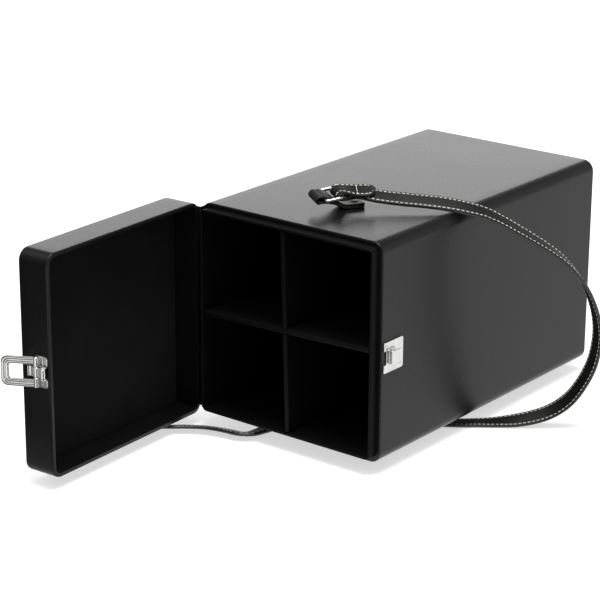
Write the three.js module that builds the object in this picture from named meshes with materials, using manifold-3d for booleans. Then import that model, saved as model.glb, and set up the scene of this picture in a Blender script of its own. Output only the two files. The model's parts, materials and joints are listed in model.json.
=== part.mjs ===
// A four-bottle wine gift box: leather-covered boards, a hinged lid with a draw clasp,
// a cross of dividers, and a shoulder strap on two riveted ring anchors.
// Millimetres, +Z up. The box lies on one side with its mouth towards -Y and its lid open
// nearly at a right angle. The origin is the middle of the side that it lies on.

import * as THREE from 'three';
import { mergeVertices } from 'three/addons/utils/BufferGeometryUtils.js';
import Module from 'manifold-3d';

const wasm = await Module();
wasm.setup();

// Box body
const boxWidth = 190;
const boxHeight = 190;
const boxDepth = 320;
const cornerRadius = 10;
const edgeRadius = 1.2;
const coverThickness = 0.8;
const boardThickness = 3.2;
const linerThickness = 2.4;
const baseLiningThickness = 1.5;
const neckLength = 8;
const hemWidth = 12;
const glueLine = 0.1;

// Dividers, a half-lapped cross that sits a little askew in the liner
const dividerThickness = 4.4;
const dividerSetback = 1;
const dividerClearance = 0.5;
const lapClearance = 0.3;
const crossRise = 1.5;
const crossTwist = THREE.MathUtils.degToRad(2);

// Lid and its leather hinge
const lidDepth = 30;
const lidWallThickness = 2.6;
const lidLiningThickness = 1.5;
const rimGap = 0.3;
const lidOpenAngle = THREE.MathUtils.degToRad(88);
const hingeLeafThickness = 0.9;
const hingeLeafWidth = 20;
const hingeEndSetback = 5;
const hingeFoldRoom = 0.3;

// Clasp plates, one on the lid and one on the body
const claspHeight = 92;
const claspPlateHeight = 26.5;
const claspPlateThickness = 1.1;
const claspPlateSetback = 1.8;
const claspBaseLength = 12.5;
const catchLength = 26.5;
const plateCornerRadius = 2;
const plateNotchHeight = 12;
const plateNotchDepth = 3.6;
const plateBeadRadius = 0.7;
const plateBeadSink = 0.3;
const plateRivetRadius = 1;
const plateRivetInset = 3.6;
const plateRivetLength = 3.6;

// Catch hook, a tongue bent back over its plate
const hookWidth = 11.6;
const hookStart = 8;
const hookEnd = 22;
const hookGap = 3;
const hookCornerRadius = 2.5;

// Clasp lever, loop and their pins
const pinRadius = 1.1;
const pinHoleRadius = 1.25;
const barrelRadius = 2.1;
const plateClearance = 0.2;
const basePinSetback = 4.4;
const leverArm = 7;
const leverWidth = 8.4;
const leverThickness = 1.2;
const leverHandleLength = 9;
const earThickness = 1.2;
const sideClearance = 0.3;
const loopReach = 29;
const loopHeight = 25.8;
const loopBand = 6.7;
const loopThickness = 2.4;
const loopCornerRadius = 6;
const loopWindowRadius = 2;
const loopEdgeRadius = 0.8;
const loopGrooveWidth = 2.2;
const loopGrooveDepth = 0.7;
const loopGrooveRadius = 3;
const loopSwing = THREE.MathUtils.degToRad(153);

// Strap anchors: a folded tab, its ring and its rivet
const anchorX = 13.7;
const anchorFromMouth = 69.3;
const tabWidth = 16;
const tabPly = 2;
const tabTail = 6;
const tabReach = 35;
const tabBendStart = 8;
const tabFlareLength = 10;
const tabLoopAngle = THREE.MathUtils.degToRad(60);
const topTabLift = 11.7;
const topTabSlack = 5;
const topTabTwist = THREE.MathUtils.degToRad(9);
const seatGap = 0.3;
const ringWireRadius = 1.5;
const ringInnerWidth = 18;
const ringLength = 15;
const ringBarCornerRadius = 2.4;
const ringBowRadius = 3;
const topRingRise = 1.6;
const underRingDrop = 1.15;
const rivetHeadRadius = 3.4;
const rivetHeadHeight = 1.2;
const rivetCrownRadius = 2;
const rivetShankRadius = 1.5;
const rivetFlangeRadius = 3;
const rivetFlangeThickness = 0.8;
const rivetClearance = 0.15;
const topAnchorHeading = THREE.MathUtils.degToRad(242);
const underAnchorHeading = THREE.MathUtils.degToRad(218);

// Strap, two plies sewn together
const strapWidth = 16;
const strapThickness = 3;
const strapStep = 7;
const foldRoom = 0.35;

// Facets and cuts
const cornerSteps = 5;
const edgeSteps = 2;
const wireSides = 10;
const pinSides = 20;
const tabSteps = 9;
const hookSteps = 10;
const overrun = 5;

// Planes that the pieces share
const mouth = -boxDepth / 2;
const base = boxDepth / 2;
const halfWidth = boxWidth / 2;
const boardOuter = coverThickness + glueLine;
const boardInner = boardOuter + boardThickness;
const linerOuter = boardInner + glueLine;
const linerInner = linerOuter + linerThickness;
const liningBack = base - boardInner - glueLine;
const liningFront = liningBack - baseLiningThickness;
const lidRim = mouth - rimGap;
const lidFace = lidRim - lidDepth;
const lidWallInner = boardOuter + lidWallThickness;
const hingeX = -halfWidth - hingeLeafThickness - hingeFoldRoom;
const hingeY = mouth - rimGap / 2;

const finishes = {
  leather: { color: 0x161616, roughness: 0.42, metalness: 0 },
  innerLeather: { color: 0x0e0e0e, roughness: 0.6, metalness: 0 },
  board: { color: 0x7a6248, roughness: 0.9, metalness: 0 },
  lining: { color: 0x0b0b0b, roughness: 0.95, metalness: 0 },
  strap: { color: 0x131313, roughness: 0.5, metalness: 0 },
  chrome: { color: 0xd8dade, roughness: 0.12, metalness: 1 },
  blackMetal: { color: 0x1c1c1e, roughness: 0.35, metalness: 1 },
};

const part = new THREE.Group();

function toSolid(geometry) {
  const bare = geometry.clone();
  bare.deleteAttribute('normal');
  bare.deleteAttribute('uv');
  const merged = mergeVertices(bare);
  return new wasm.Manifold(new wasm.Mesh({
    numProp: 3,
    vertProperties: new Float32Array(merged.attributes.position.array),
    triVerts: new Uint32Array(merged.index.array),
  }));
}

function toGeometry(solid) {
  const mesh = solid.getMesh();
  const geometry = new THREE.BufferGeometry();
  geometry.setAttribute('position', new THREE.BufferAttribute(mesh.vertProperties, 3));
  geometry.setIndex(new THREE.BufferAttribute(mesh.triVerts, 1));
  geometry.computeVertexNormals();
  return geometry;
}

function addPiece(parent, name, solid, finish) {
  const piece = new THREE.Mesh(toGeometry(solid), new THREE.MeshStandardMaterial(finishes[finish]));
  piece.name = name;
  parent.add(piece);
  return piece;
}

// A box between two corners
function block([x0, y0, z0], [x1, y1, z1]) {
  const geometry = new THREE.BoxGeometry(x1 - x0, y1 - y0, z1 - z0);
  geometry.translate((x0 + x1) / 2, (y0 + y1) / 2, (z0 + z1) / 2);
  return toSolid(geometry);
}

// A rectangle with round corners, centred
function roundedOutline(width, height, radius) {
  const x = width / 2;
  const y = height / 2;
  const shape = new THREE.Shape();
  shape.moveTo(x, -y + radius);
  shape.absarc(x - radius, y - radius, radius, 0, Math.PI / 2);
  shape.absarc(-x + radius, y - radius, radius, Math.PI / 2, Math.PI);
  shape.absarc(-x + radius, -y + radius, radius, Math.PI, Math.PI * 1.5);
  shape.absarc(x - radius, -y + radius, radius, Math.PI * 1.5, Math.PI * 2);
  return shape;
}

// An outline drawn as (first, second) and pushed along the third direction, from 0 to length
const directions = {
  x: [new THREE.Vector3(0, 1, 0), new THREE.Vector3(0, 0, 1), new THREE.Vector3(1, 0, 0)],
  y: [new THREE.Vector3(0, 0, 1), new THREE.Vector3(1, 0, 0), new THREE.Vector3(0, 1, 0)],
  z: [new THREE.Vector3(1, 0, 0), new THREE.Vector3(0, 1, 0), new THREE.Vector3(0, 0, 1)],
};

function pushed(shape, axis, length, bevel = 0, steps = cornerSteps) {
  const geometry = new THREE.ExtrudeGeometry(shape, {
    depth: length - 2 * bevel,
    curveSegments: steps,
    bevelEnabled: bevel > 0,
    bevelThickness: bevel,
    bevelSize: bevel,
    bevelOffset: -bevel,
    bevelSegments: edgeSteps,
  });
  geometry.translate(0, 0, bevel);
  geometry.applyMatrix4(new THREE.Matrix4().makeBasis(...directions[axis]));
  return toSolid(geometry);
}

// A rod along Z, centred
function rod(radius, length, sides = pinSides) {
  const geometry = new THREE.CylinderGeometry(radius, radius, length, sides);
  geometry.rotateX(Math.PI / 2);
  return toSolid(geometry);
}

function joined(...solids) {
  return solids.reduce((sum, solid) => sum.add(solid));
}

// The outer form of the box between two planes, drawn in by an inset on every side
function caseForm(inset, front, back) {
  const outline = roundedOutline(boxHeight - 2 * inset, boxWidth - 2 * inset, cornerRadius - inset);
  const bevel = Math.max(edgeRadius - inset, glueLine);
  const form = pushed(outline, 'y', back - front - 2 * inset, bevel);
  return form.translate([0, front + inset, boxHeight / 2]);
}

// A board or panel with its four sides given as insets from the outer form
function panel(side, outer, inner, ends, front, back) {
  const x = halfWidth;
  const z = boxHeight;
  const corners = {
    top: [[-x + ends, front, z - inner], [x - ends, back, z - outer]],
    under: [[-x + ends, front, outer], [x - ends, back, inner]],
    hinge: [[-x + outer, front, ends], [-x + inner, back, z - ends]],
    clasp: [[x - inner, front, ends], [x - outer, back, z - ends]],
  };
  return block(...corners[side]);
}

// Rivet hole through a wall, with the counterbore that its flange sits in
function rivetHole(height) {
  const length = boardInner + overrun;
  const shank = rod(rivetShankRadius + rivetClearance, length);
  const flange = rod(rivetFlangeRadius + rivetClearance, rivetFlangeThickness + glueLine + overrun);
  const sink = (rivetFlangeThickness + glueLine + overrun) / 2;
  const inward = height > 0 ? -1 : 1;
  const face = height > 0 ? height : 0;
  const flangeTop = face + inward * (boardInner - rivetFlangeThickness - glueLine);
  return joined(
    shank.translate([0, 0, face + inward * boardInner / 2]),
    flange.translate([0, 0, flangeTop + inward * sink]),
  ).translate([anchorX, mouth + anchorFromMouth, 0]);
}

// Shank holes of one clasp plate, through the wall at the clasp side
function plateRivetPlaces(first, last) {
  const z = claspPlateHeight / 2 - plateRivetInset;
  return [
    [first, claspHeight + z],
    [last, claspHeight - z],
  ];
}

function sideHole(y, z) {
  const hole = rod(plateRivetRadius + rivetClearance, boardInner + overrun + plateRivetLength);
  return hole.rotate([0, 90, 0]).translate([halfWidth, y, z]);
}

const catchFront = mouth + claspPlateSetback;
const catchRivets = plateRivetPlaces(
  catchFront + plateRivetInset, catchFront + catchLength - plateRivetInset);
const claspBack = lidRim - claspPlateSetback - claspBaseLength;
const claspRivets = plateRivetPlaces(claspBack + plateRivetInset / 2, claspBack + plateRivetInset / 2);

function addBody() {
  const skin = caseForm(0, mouth, base).subtract(caseForm(coverThickness, mouth, base));
  const neckHole = block(
    [-halfWidth + boardInner, mouth - overrun, boardInner],
    [halfWidth - boardInner, mouth + overrun, boxHeight - boardInner],
  );
  const basePanelOutline = (gap) => roundedOutline(
    boxHeight - 2 * hemWidth - 2 * gap, boxWidth - 2 * hemWidth - 2 * gap, cornerRadius);
  const hemHole = pushed(basePanelOutline(0), 'y', 2 * overrun).translate([0, base - overrun, boxHeight / 2]);
  const holes = joined(
    rivetHole(boxHeight), rivetHole(0), ...catchRivets.map(([y, z]) => sideHole(y, z)));
  addPiece(part, 'body_cover', skin.subtract(neckHole).subtract(hemHole).subtract(holes), 'leather');
  const basePanel = pushed(basePanelOutline(glueLine), 'y', coverThickness);
  addPiece(part, 'base_panel', basePanel.translate([0, base - coverThickness, boxHeight / 2]), 'leather');

  const boardForm = caseForm(boardOuter, mouth, base);
  const boardBack = base - boardInner - glueLine;
  for (const side of ['top', 'under', 'hinge', 'clasp']) {
    const lying = side === 'top' || side === 'under';
    const ends = lying ? boardOuter : boardInner + glueLine;
    const board = panel(side, boardOuter, boardInner, ends, mouth + boardOuter, boardBack);
    addPiece(part, `${side}_board`, board.intersect(boardForm).subtract(holes), 'board');
    const linerEnds = lying ? linerOuter : linerInner + glueLine;
    const liner = panel(side, linerOuter, linerInner, linerEnds, mouth - neckLength, liningBack);
    addPiece(part, `${side}_liner`, liner, 'innerLeather');
  }
  const baseBoard = block(
    [-halfWidth, base - boardInner, 0], [halfWidth, base - boardOuter, boxHeight]).intersect(boardForm);
  addPiece(part, 'base_board', baseBoard, 'board');
  const inset = linerInner + glueLine;
  addPiece(part, 'base_lining', block(
    [-halfWidth + inset, liningFront, inset], [halfWidth - inset, liningBack, boxHeight - inset]), 'lining');
}

function addDividers() {
  const front = mouth - neckLength + dividerSetback;
  const back = liningFront - dividerClearance;
  const middle = (front + back) / 2;
  const reach = halfWidth - linerInner - dividerClearance;
  const upReach = boxHeight / 2 - linerInner - dividerClearance;
  const half = dividerThickness / 2;
  const slot = half + lapClearance;
  const cross = new THREE.Group();
  cross.position.z = boxHeight / 2 + crossRise;
  cross.rotation.y = -crossTwist;
  part.add(cross);
  const upright = block([-half, front, -upReach - crossRise], [half, back, upReach - crossRise])
    .subtract(block([-half - overrun, front - overrun, -slot], [half + overrun, middle, slot]));
  addPiece(cross, 'divider_upright', upright, 'innerLeather');
  const level = block([-reach, front, -half], [reach, back, half])
    .subtract(block([-slot, middle - lapClearance, -half - overrun], [slot, back + overrun, half + overrun]));
  addPiece(cross, 'divider_level', level, 'innerLeather');
}

// One leaf of the leather hinge, on the outside of the hinge wall
function hingeLeaf(from, to) {
  return block(
    [-halfWidth - glueLine - hingeLeafThickness, from, hingeEndSetback],
    [-halfWidth - glueLine, to, boxHeight - hingeEndSetback],
  );
}

// The outline of a clasp plate, with its front edge at zero and a notch in it
function plateOutline(length) {
  const z = claspPlateHeight / 2;
  const r = plateCornerRadius;
  const n = plateNotchHeight / 2;
  const shape = new THREE.Shape();
  shape.moveTo(r, -z);
  shape.lineTo(length - r, -z);
  shape.absarc(length - r, -z + r, r, -Math.PI / 2, 0);
  shape.absarc(length - r, z - r, r, 0, Math.PI / 2);
  shape.absarc(r, z - r, r, Math.PI / 2, Math.PI);
  shape.lineTo(0, n);
  shape.lineTo(plateNotchDepth, n);
  shape.lineTo(plateNotchDepth, -n);
  shape.lineTo(0, -n);
  shape.absarc(r, -z + r, r, Math.PI, Math.PI * 1.5);
  return shape;
}

// A plate with a rolled bead along each half of its front edge
function claspPlate(length) {
  const plate = pushed(plateOutline(length), 'x', claspPlateThickness);
  const beadLength = (claspPlateHeight - plateNotchHeight) / 2 - plateCornerRadius;
  const beadPlace = plateNotchHeight / 2 + beadLength / 2;
  const bead = rod(plateBeadRadius, beadLength, wireSides)
    .translate([claspPlateThickness - plateBeadSink, plateBeadRadius, 0]);
  return joined(plate, bead.translate([0, 0, beadPlace]), bead.translate([0, 0, -beadPlace]));
}

// The catch's tongue: a half turn up from the plate and a leg back over it
function hookSolid() {
  const inner = hookGap / 2;
  const outer = inner + claspPlateThickness;
  const bend = hookStart + outer;
  const shape = new THREE.Shape();
  shape.moveTo(0, bend);
  shape.absarc(outer, bend, outer, Math.PI, Math.PI * 2, false);
  shape.lineTo(2 * outer, hookEnd);
  shape.lineTo(2 * outer - claspPlateThickness, hookEnd);
  shape.lineTo(2 * outer - claspPlateThickness, bend);
  shape.absarc(outer, bend, inner, 0, -Math.PI, true);
  shape.lineTo(0, bend);
  const tongue = pushed(shape, 'z', hookWidth, 0, hookSteps).translate([0, 0, -hookWidth / 2]);
  const length = hookEnd - hookStart + hookCornerRadius;
  const plan = pushed(roundedOutline(length, hookWidth, hookCornerRadius), 'x', 2 * outer + overrun);
  const leading = block(
    [-overrun, hookStart - overrun, -hookWidth], [2 * outer + overrun, bend, hookWidth]);
  return tongue.intersect(joined(plan.translate([0, hookEnd - length / 2, 0]), leading));
}

function plateRivet() {
  return rod(plateRivetRadius, plateRivetLength).rotate([0, 90, 0]);
}

function addCatch() {
  const holes = joined(...catchRivets.map(([y, z]) => sideHole(y, z)));
  const plate = joined(claspPlate(catchLength), hookSolid().translate([0, -claspPlateSetback, 0]))
    .translate([halfWidth + glueLine, catchFront, claspHeight])
    .subtract(holes);
  addPiece(part, 'catch_plate', plate, 'chrome');
  addPlateRivets(part, 'catch_rivet', catchRivets);
}

function addPlateRivets(parent, name, places) {
  const x = halfWidth + glueLine + claspPlateThickness - plateRivetLength / 2;
  places.forEach(([y, z], index) => {
    addPiece(parent, `${name}_${index + 1}`, plateRivet().translate([x, y, z]), 'chrome');
  });
}

function addLid() {
  const swing = new THREE.Group();
  swing.position.set(hingeX, hingeY, 0);
  swing.rotation.z = -lidOpenAngle;
  part.add(swing);
  const lid = new THREE.Group();
  lid.position.set(-hingeX, -hingeY, 0);
  swing.add(lid);

  const holes = joined(...claspRivets.map(([y, z]) => sideHole(y, z)));
  const cavity = block(
    [-halfWidth + lidWallInner, lidRim - overrun, lidWallInner],
    [halfWidth - lidWallInner, lidRim + overrun, boxHeight - lidWallInner],
  );
  const skin = caseForm(0, lidFace, lidRim).subtract(caseForm(coverThickness, lidFace, lidRim));
  addPiece(lid, 'lid_cover', skin.subtract(cavity).subtract(holes), 'leather');

  const form = caseForm(boardOuter, lidFace, lidRim);
  const boardBack = lidFace + boardOuter + lidWallThickness;
  const board = block([-halfWidth, lidFace, 0], [halfWidth, boardBack, boxHeight]).intersect(form);
  addPiece(lid, 'lid_board', board, 'board');
  for (const side of ['top', 'under', 'hinge', 'clasp']) {
    const ends = side === 'top' || side === 'under' ? boardOuter : lidWallInner + glueLine;
    const wall = panel(
      side, boardOuter, lidWallInner, ends, boardBack + glueLine, lidRim - boardOuter);
    addPiece(lid, `lid_${side}_wall`, wall.intersect(form).subtract(holes), 'board');
  }
  const inset = lidWallInner + glueLine;
  const liningFrom = boardBack + glueLine;
  addPiece(lid, 'lid_lining', block(
    [-halfWidth + inset, liningFrom, inset],
    [halfWidth - inset, liningFrom + lidLiningThickness, boxHeight - inset]), 'lining');

  addPiece(part, 'hinge_leaf_body', hingeLeaf(mouth, mouth + hingeLeafWidth), 'leather');
  addPiece(lid, 'hinge_leaf_lid', hingeLeaf(lidRim - hingeLeafWidth, lidRim), 'leather');
  addClasp(lid, holes);
}

// The draw clasp: its base plate with two ears, the lever between them and the loop on the lever
function addClasp(lid, holes) {
  const pinHeight = glueLine + claspPlateThickness + plateClearance + barrelRadius;
  const x = halfWidth + pinHeight;
  const basePinY = lidRim - basePinSetback;
  const loopPinY = basePinY - leverArm;
  const earInner = leverWidth / 2 + sideClearance;
  const earOuter = earInner + earThickness;

  const ear = joined(
    rod(barrelRadius, earThickness),
    block([-pinHeight + glueLine, -barrelRadius, -earThickness / 2], [0, barrelRadius, earThickness / 2]),
  ).translate([x, basePinY, claspHeight]);
  const earPlace = (earInner + earOuter) / 2;
  const pinHole = rod(pinHoleRadius, 2 * loopHeight);
  const plate = claspPlate(claspBaseLength).rotate([180, 0, 0])
    .translate([halfWidth + glueLine, lidRim - claspPlateSetback, claspHeight]);
  const clasp = joined(plate, ear.translate([0, 0, earPlace]), ear.translate([0, 0, -earPlace]))
    .subtract(pinHole.translate([x, basePinY, claspHeight])).subtract(holes);
  addPiece(lid, 'clasp_base', clasp, 'chrome');
  const basePin = rod(pinRadius, 2 * earOuter).translate([x, basePinY, claspHeight]);
  addPiece(lid, 'clasp_base_pin', basePin, 'chrome');
  addPlateRivets(lid, 'clasp_rivet', claspRivets);

  const handleEnd = loopPinY - leverHandleLength;
  const leaf = pushed(
    roundedOutline(basePinY - handleEnd, leverWidth, plateCornerRadius), 'x', leverThickness)
    .translate([x - leverThickness / 2, (basePinY + handleEnd) / 2, claspHeight]);
  const barrel = rod(barrelRadius, leverWidth).translate([x, 0, claspHeight]);
  const lever = joined(leaf, barrel.translate([0, basePinY, 0]), barrel.translate([0, loopPinY, 0]))
    .subtract(pinHole.translate([x, basePinY, claspHeight]))
    .subtract(pinHole.translate([x, loopPinY, claspHeight]));
  addPiece(lid, 'clasp_lever', lever, 'chrome');
  addPiece(lid, 'clasp_loop_pin', rod(pinRadius, loopHeight).translate([x, loopPinY, claspHeight]), 'chrome');

  const turned = new THREE.Group();
  turned.position.set(x, loopPinY, claspHeight);
  turned.rotation.z = -loopSwing;
  lid.add(turned);
  addPiece(turned, 'clasp_loop', loopSolid(), 'chrome');
}

// A U-shaped frame that reaches from its pin along +Y, with an eye at the root of each arm
function loopSolid() {
  const half = loopHeight / 2;
  const inner = half - loopBand;
  const outline = roundedOutline(2 * loopReach, loopHeight, loopCornerRadius);
  const frame = pushed(outline, 'x', loopThickness, loopEdgeRadius)
    .translate([-loopThickness / 2, 0, 0]);
  const window = pushed(
    roundedOutline(2 * (loopReach - loopBand), 2 * inner, loopWindowRadius), 'x', loopThickness + overrun)
    .translate([-(loopThickness + overrun) / 2, 0, 0]);
  const grooveReach = 2 * loopReach - loopBand;
  const grooveHeight = loopHeight - loopBand;
  const grooveOuter = roundedOutline(
    grooveReach + loopGrooveWidth, grooveHeight + loopGrooveWidth, loopGrooveRadius);
  const grooveInner = roundedOutline(
    grooveReach - loopGrooveWidth, grooveHeight - loopGrooveWidth, loopWindowRadius);
  const groove = pushed(grooveOuter, 'x', overrun).subtract(pushed(grooveInner, 'x', overrun))
    .translate([loopThickness / 2 - loopGrooveDepth, 0, 0]);
  const behind = block([-overrun, -2 * loopReach, -half - overrun], [overrun, 0, half + overrun]);
  const eyeLength = half - leverWidth / 2 - sideClearance;
  const eye = rod(barrelRadius, eyeLength);
  const eyePlace = half - eyeLength / 2;
  return joined(
    frame.subtract(window).subtract(groove).subtract(behind),
    eye.translate([0, 0, eyePlace]), eye.translate([0, 0, -eyePlace]),
  ).subtract(rod(pinHoleRadius, 2 * loopHeight));
}

// The height of a tab's middle: flat by its rivet, rising to the ring's bar
function tabMiddle(x, lift, slack) {
  const rise = THREE.MathUtils.smoothstep(x, tabBendStart, tabReach - slack);
  return THREE.MathUtils.lerp(seatGap + tabPly, lift, rise);
}

// The side outline of a tab, with a round loop at its end
function tabOutline(lift, slack) {
  const eye = ringWireRadius + seatGap + tabPly;
  const last = tabReach - eye * Math.cos(tabLoopAngle);
  const flare = last - slack;
  const middle = (x) => tabMiddle(x, lift, slack);
  const half = (x) => THREE.MathUtils.lerp(
    tabPly, eye * Math.sin(tabLoopAngle), THREE.MathUtils.smoothstep(x, flare - tabFlareLength, flare));
  const steps = Array.from(
    { length: tabSteps + 1 }, (_, index) => THREE.MathUtils.lerp(-tabTail, last, index / tabSteps));
  const shape = new THREE.Shape();
  shape.moveTo(-tabTail, seatGap);
  for (const x of steps.slice(1, -1)) shape.lineTo(x, middle(x) - half(x));
  shape.absarc(tabReach, lift, eye, tabLoopAngle - Math.PI, Math.PI - tabLoopAngle, false);
  for (const x of steps.slice(1, -1).reverse()) shape.lineTo(x, middle(x) + half(x));
  shape.lineTo(-tabTail, seatGap + 2 * tabPly);
  return shape;
}

// Joins rings of points into one closed skin; in a loop the last ring meets the first
function skinned(rings, isLoop) {
  const sides = rings[0].length;
  const positions = rings.flat().flatMap((point) => point.toArray());
  const index = [];
  const spans = isLoop ? rings.length : rings.length - 1;
  for (let ring = 0; ring < spans; ring += 1) {
    for (let side = 0; side < sides; side += 1) {
      const a = ring * sides + side;
      const b = ring * sides + (side + 1) % sides;
      const c = ((ring + 1) % rings.length) * sides + (side + 1) % sides;
      const d = ((ring + 1) % rings.length) * sides + side;
      index.push(a, b, c, a, c, d);
    }
  }
  if (!isLoop) {
    const end = (rings.length - 1) * sides;
    for (let side = 1; side < sides - 1; side += 1) {
      index.push(0, side + 1, side);
      index.push(end, end + side, end + side + 1);
    }
  }
  const geometry = new THREE.BufferGeometry();
  geometry.setAttribute('position', new THREE.Float32BufferAttribute(positions, 3));
  geometry.setIndex(index);
  return geometry;
}

// The anchor's ring, lying in X and Y with its bar on the Y axis and its bow towards +X
function ringSolid() {
  const half = ringInnerWidth / 2 + ringWireRadius;
  const bar = ringBarCornerRadius;
  const bow = ringBowRadius;
  const outline = new THREE.Shape();
  outline.moveTo(0, half - bar);
  outline.absarc(bar, -half + bar, bar, Math.PI, Math.PI * 1.5);
  outline.absarc(ringLength - bow, -half + bow, bow, -Math.PI / 2, 0);
  outline.absarc(ringLength - bow, half - bow, bow, 0, Math.PI / 2);
  outline.absarc(bar, half - bar, bar, Math.PI / 2, Math.PI);
  const path = outline.getPoints(cornerSteps).map((p) => new THREE.Vector3(p.x, p.y, 0));
  path.pop();
  const rings = path.map((point, place) => {
    const before = path[(place + path.length - 1) % path.length];
    const after = path[(place + 1) % path.length];
    const ahead = after.clone().sub(point).normalize();
    const tangent = ahead.add(point.clone().sub(before).normalize()).normalize();
    const across = new THREE.Vector3(-tangent.y, tangent.x, 0);
    return Array.from({ length: wireSides }, (_, side) => {
      const angle = (side / wireSides) * Math.PI * 2;
      return point.clone()
        .addScaledVector(across, Math.cos(angle) * ringWireRadius)
        .add(new THREE.Vector3(0, 0, Math.sin(angle) * ringWireRadius));
    });
  });
  return toSolid(skinned(rings, true));
}

// The anchor's rivet: a low head on the tab, a shank, and a flange in the wall's counterbore
function rivetProfile() {
  const head = seatGap + 2 * tabPly + glueLine;
  const flange = -boardInner + rivetFlangeThickness;
  return [
    [0, -boardInner], [rivetFlangeRadius, -boardInner], [rivetFlangeRadius, flange],
    [rivetShankRadius, flange], [rivetShankRadius, head], [rivetHeadRadius, head],
    [rivetCrownRadius, head + rivetHeadHeight], [0, head + rivetHeadHeight],
  ].map(([x, y]) => new THREE.Vector2(x, y));
}

// Adds one anchor: X runs from its rivet to its ring, Z away from the box
function addAnchor(name, { frame, lift, slack, twist, ringTurn }) {
  const anchor = new THREE.Group();
  anchor.applyMatrix4(frame);
  part.add(anchor);
  const bar = rod(ringWireRadius + seatGap, 2 * tabWidth).rotate([90, 0, 0]);
  const loopHole = wasm.Manifold.hull([
    bar.translate([tabReach - slack, 0, lift]), bar.translate([tabReach, 0, lift])]);
  const shankHole = rod(rivetShankRadius + rivetClearance, 2 * overrun + 2 * tabPly);
  const strip = new THREE.ExtrudeGeometry(
    tabOutline(lift, slack), { depth: tabWidth, curveSegments: tabSteps, bevelEnabled: false });
  strip.applyMatrix4(new THREE.Matrix4().makeBasis(
    new THREE.Vector3(1, 0, 0), new THREE.Vector3(0, 0, 1), new THREE.Vector3(0, -1, 0)));
  const tab = toSolid(strip).translate([0, tabWidth / 2, 0]).subtract(loopHole).subtract(shankHole);
  const twisted = tab.warp((point) => {
    const middle = tabMiddle(point[0], lift, slack);
    const angle = twist * THREE.MathUtils.smoothstep(point[0], tabBendStart, tabReach - slack);
    const [, y, z] = point;
    point[1] = y * Math.cos(angle) + (z - middle) * Math.sin(angle);
    point[2] = middle + (z - middle) * Math.cos(angle) - y * Math.sin(angle);
  });
  addPiece(anchor, `${name}_tab`, twisted, 'strap');

  const rivet = new THREE.LatheGeometry(rivetProfile(), pinSides);
  rivet.rotateX(Math.PI / 2);
  addPiece(anchor, `${name}_rivet`, toSolid(rivet), 'blackMetal');

  const ring = addPiece(anchor, `${name}_ring`, ringSolid(), 'chrome');
  ring.position.set(tabReach - slack, 0, lift);
  ring.rotation.set(-twist, ringTurn, 0);
}

// The anchor's frame on the top side or the underside
function anchorFrame(onTop, heading) {
  const x = new THREE.Vector3(Math.cos(heading), Math.sin(heading), 0);
  const z = new THREE.Vector3(0, 0, onTop ? 1 : -1);
  const y = z.clone().cross(x);
  const frame = new THREE.Matrix4().makeBasis(x, y, z);
  return frame.setPosition(anchorX, mouth + anchorFromMouth, onTop ? boxHeight : 0);
}

const topAnchor = {
  frame: anchorFrame(true, topAnchorHeading),
  lift: topTabLift,
  slack: topTabSlack,
  twist: topTabTwist,
  ringTurn: Math.PI + Math.asin(topRingRise / ringLength),
};
const underAnchor = {
  frame: anchorFrame(false, underAnchorHeading),
  lift: seatGap + ringWireRadius + seatGap + tabPly,
  slack: 0,
  twist: 0,
  ringTurn: -Math.asin(underRingDrop / ringLength),
};

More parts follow.
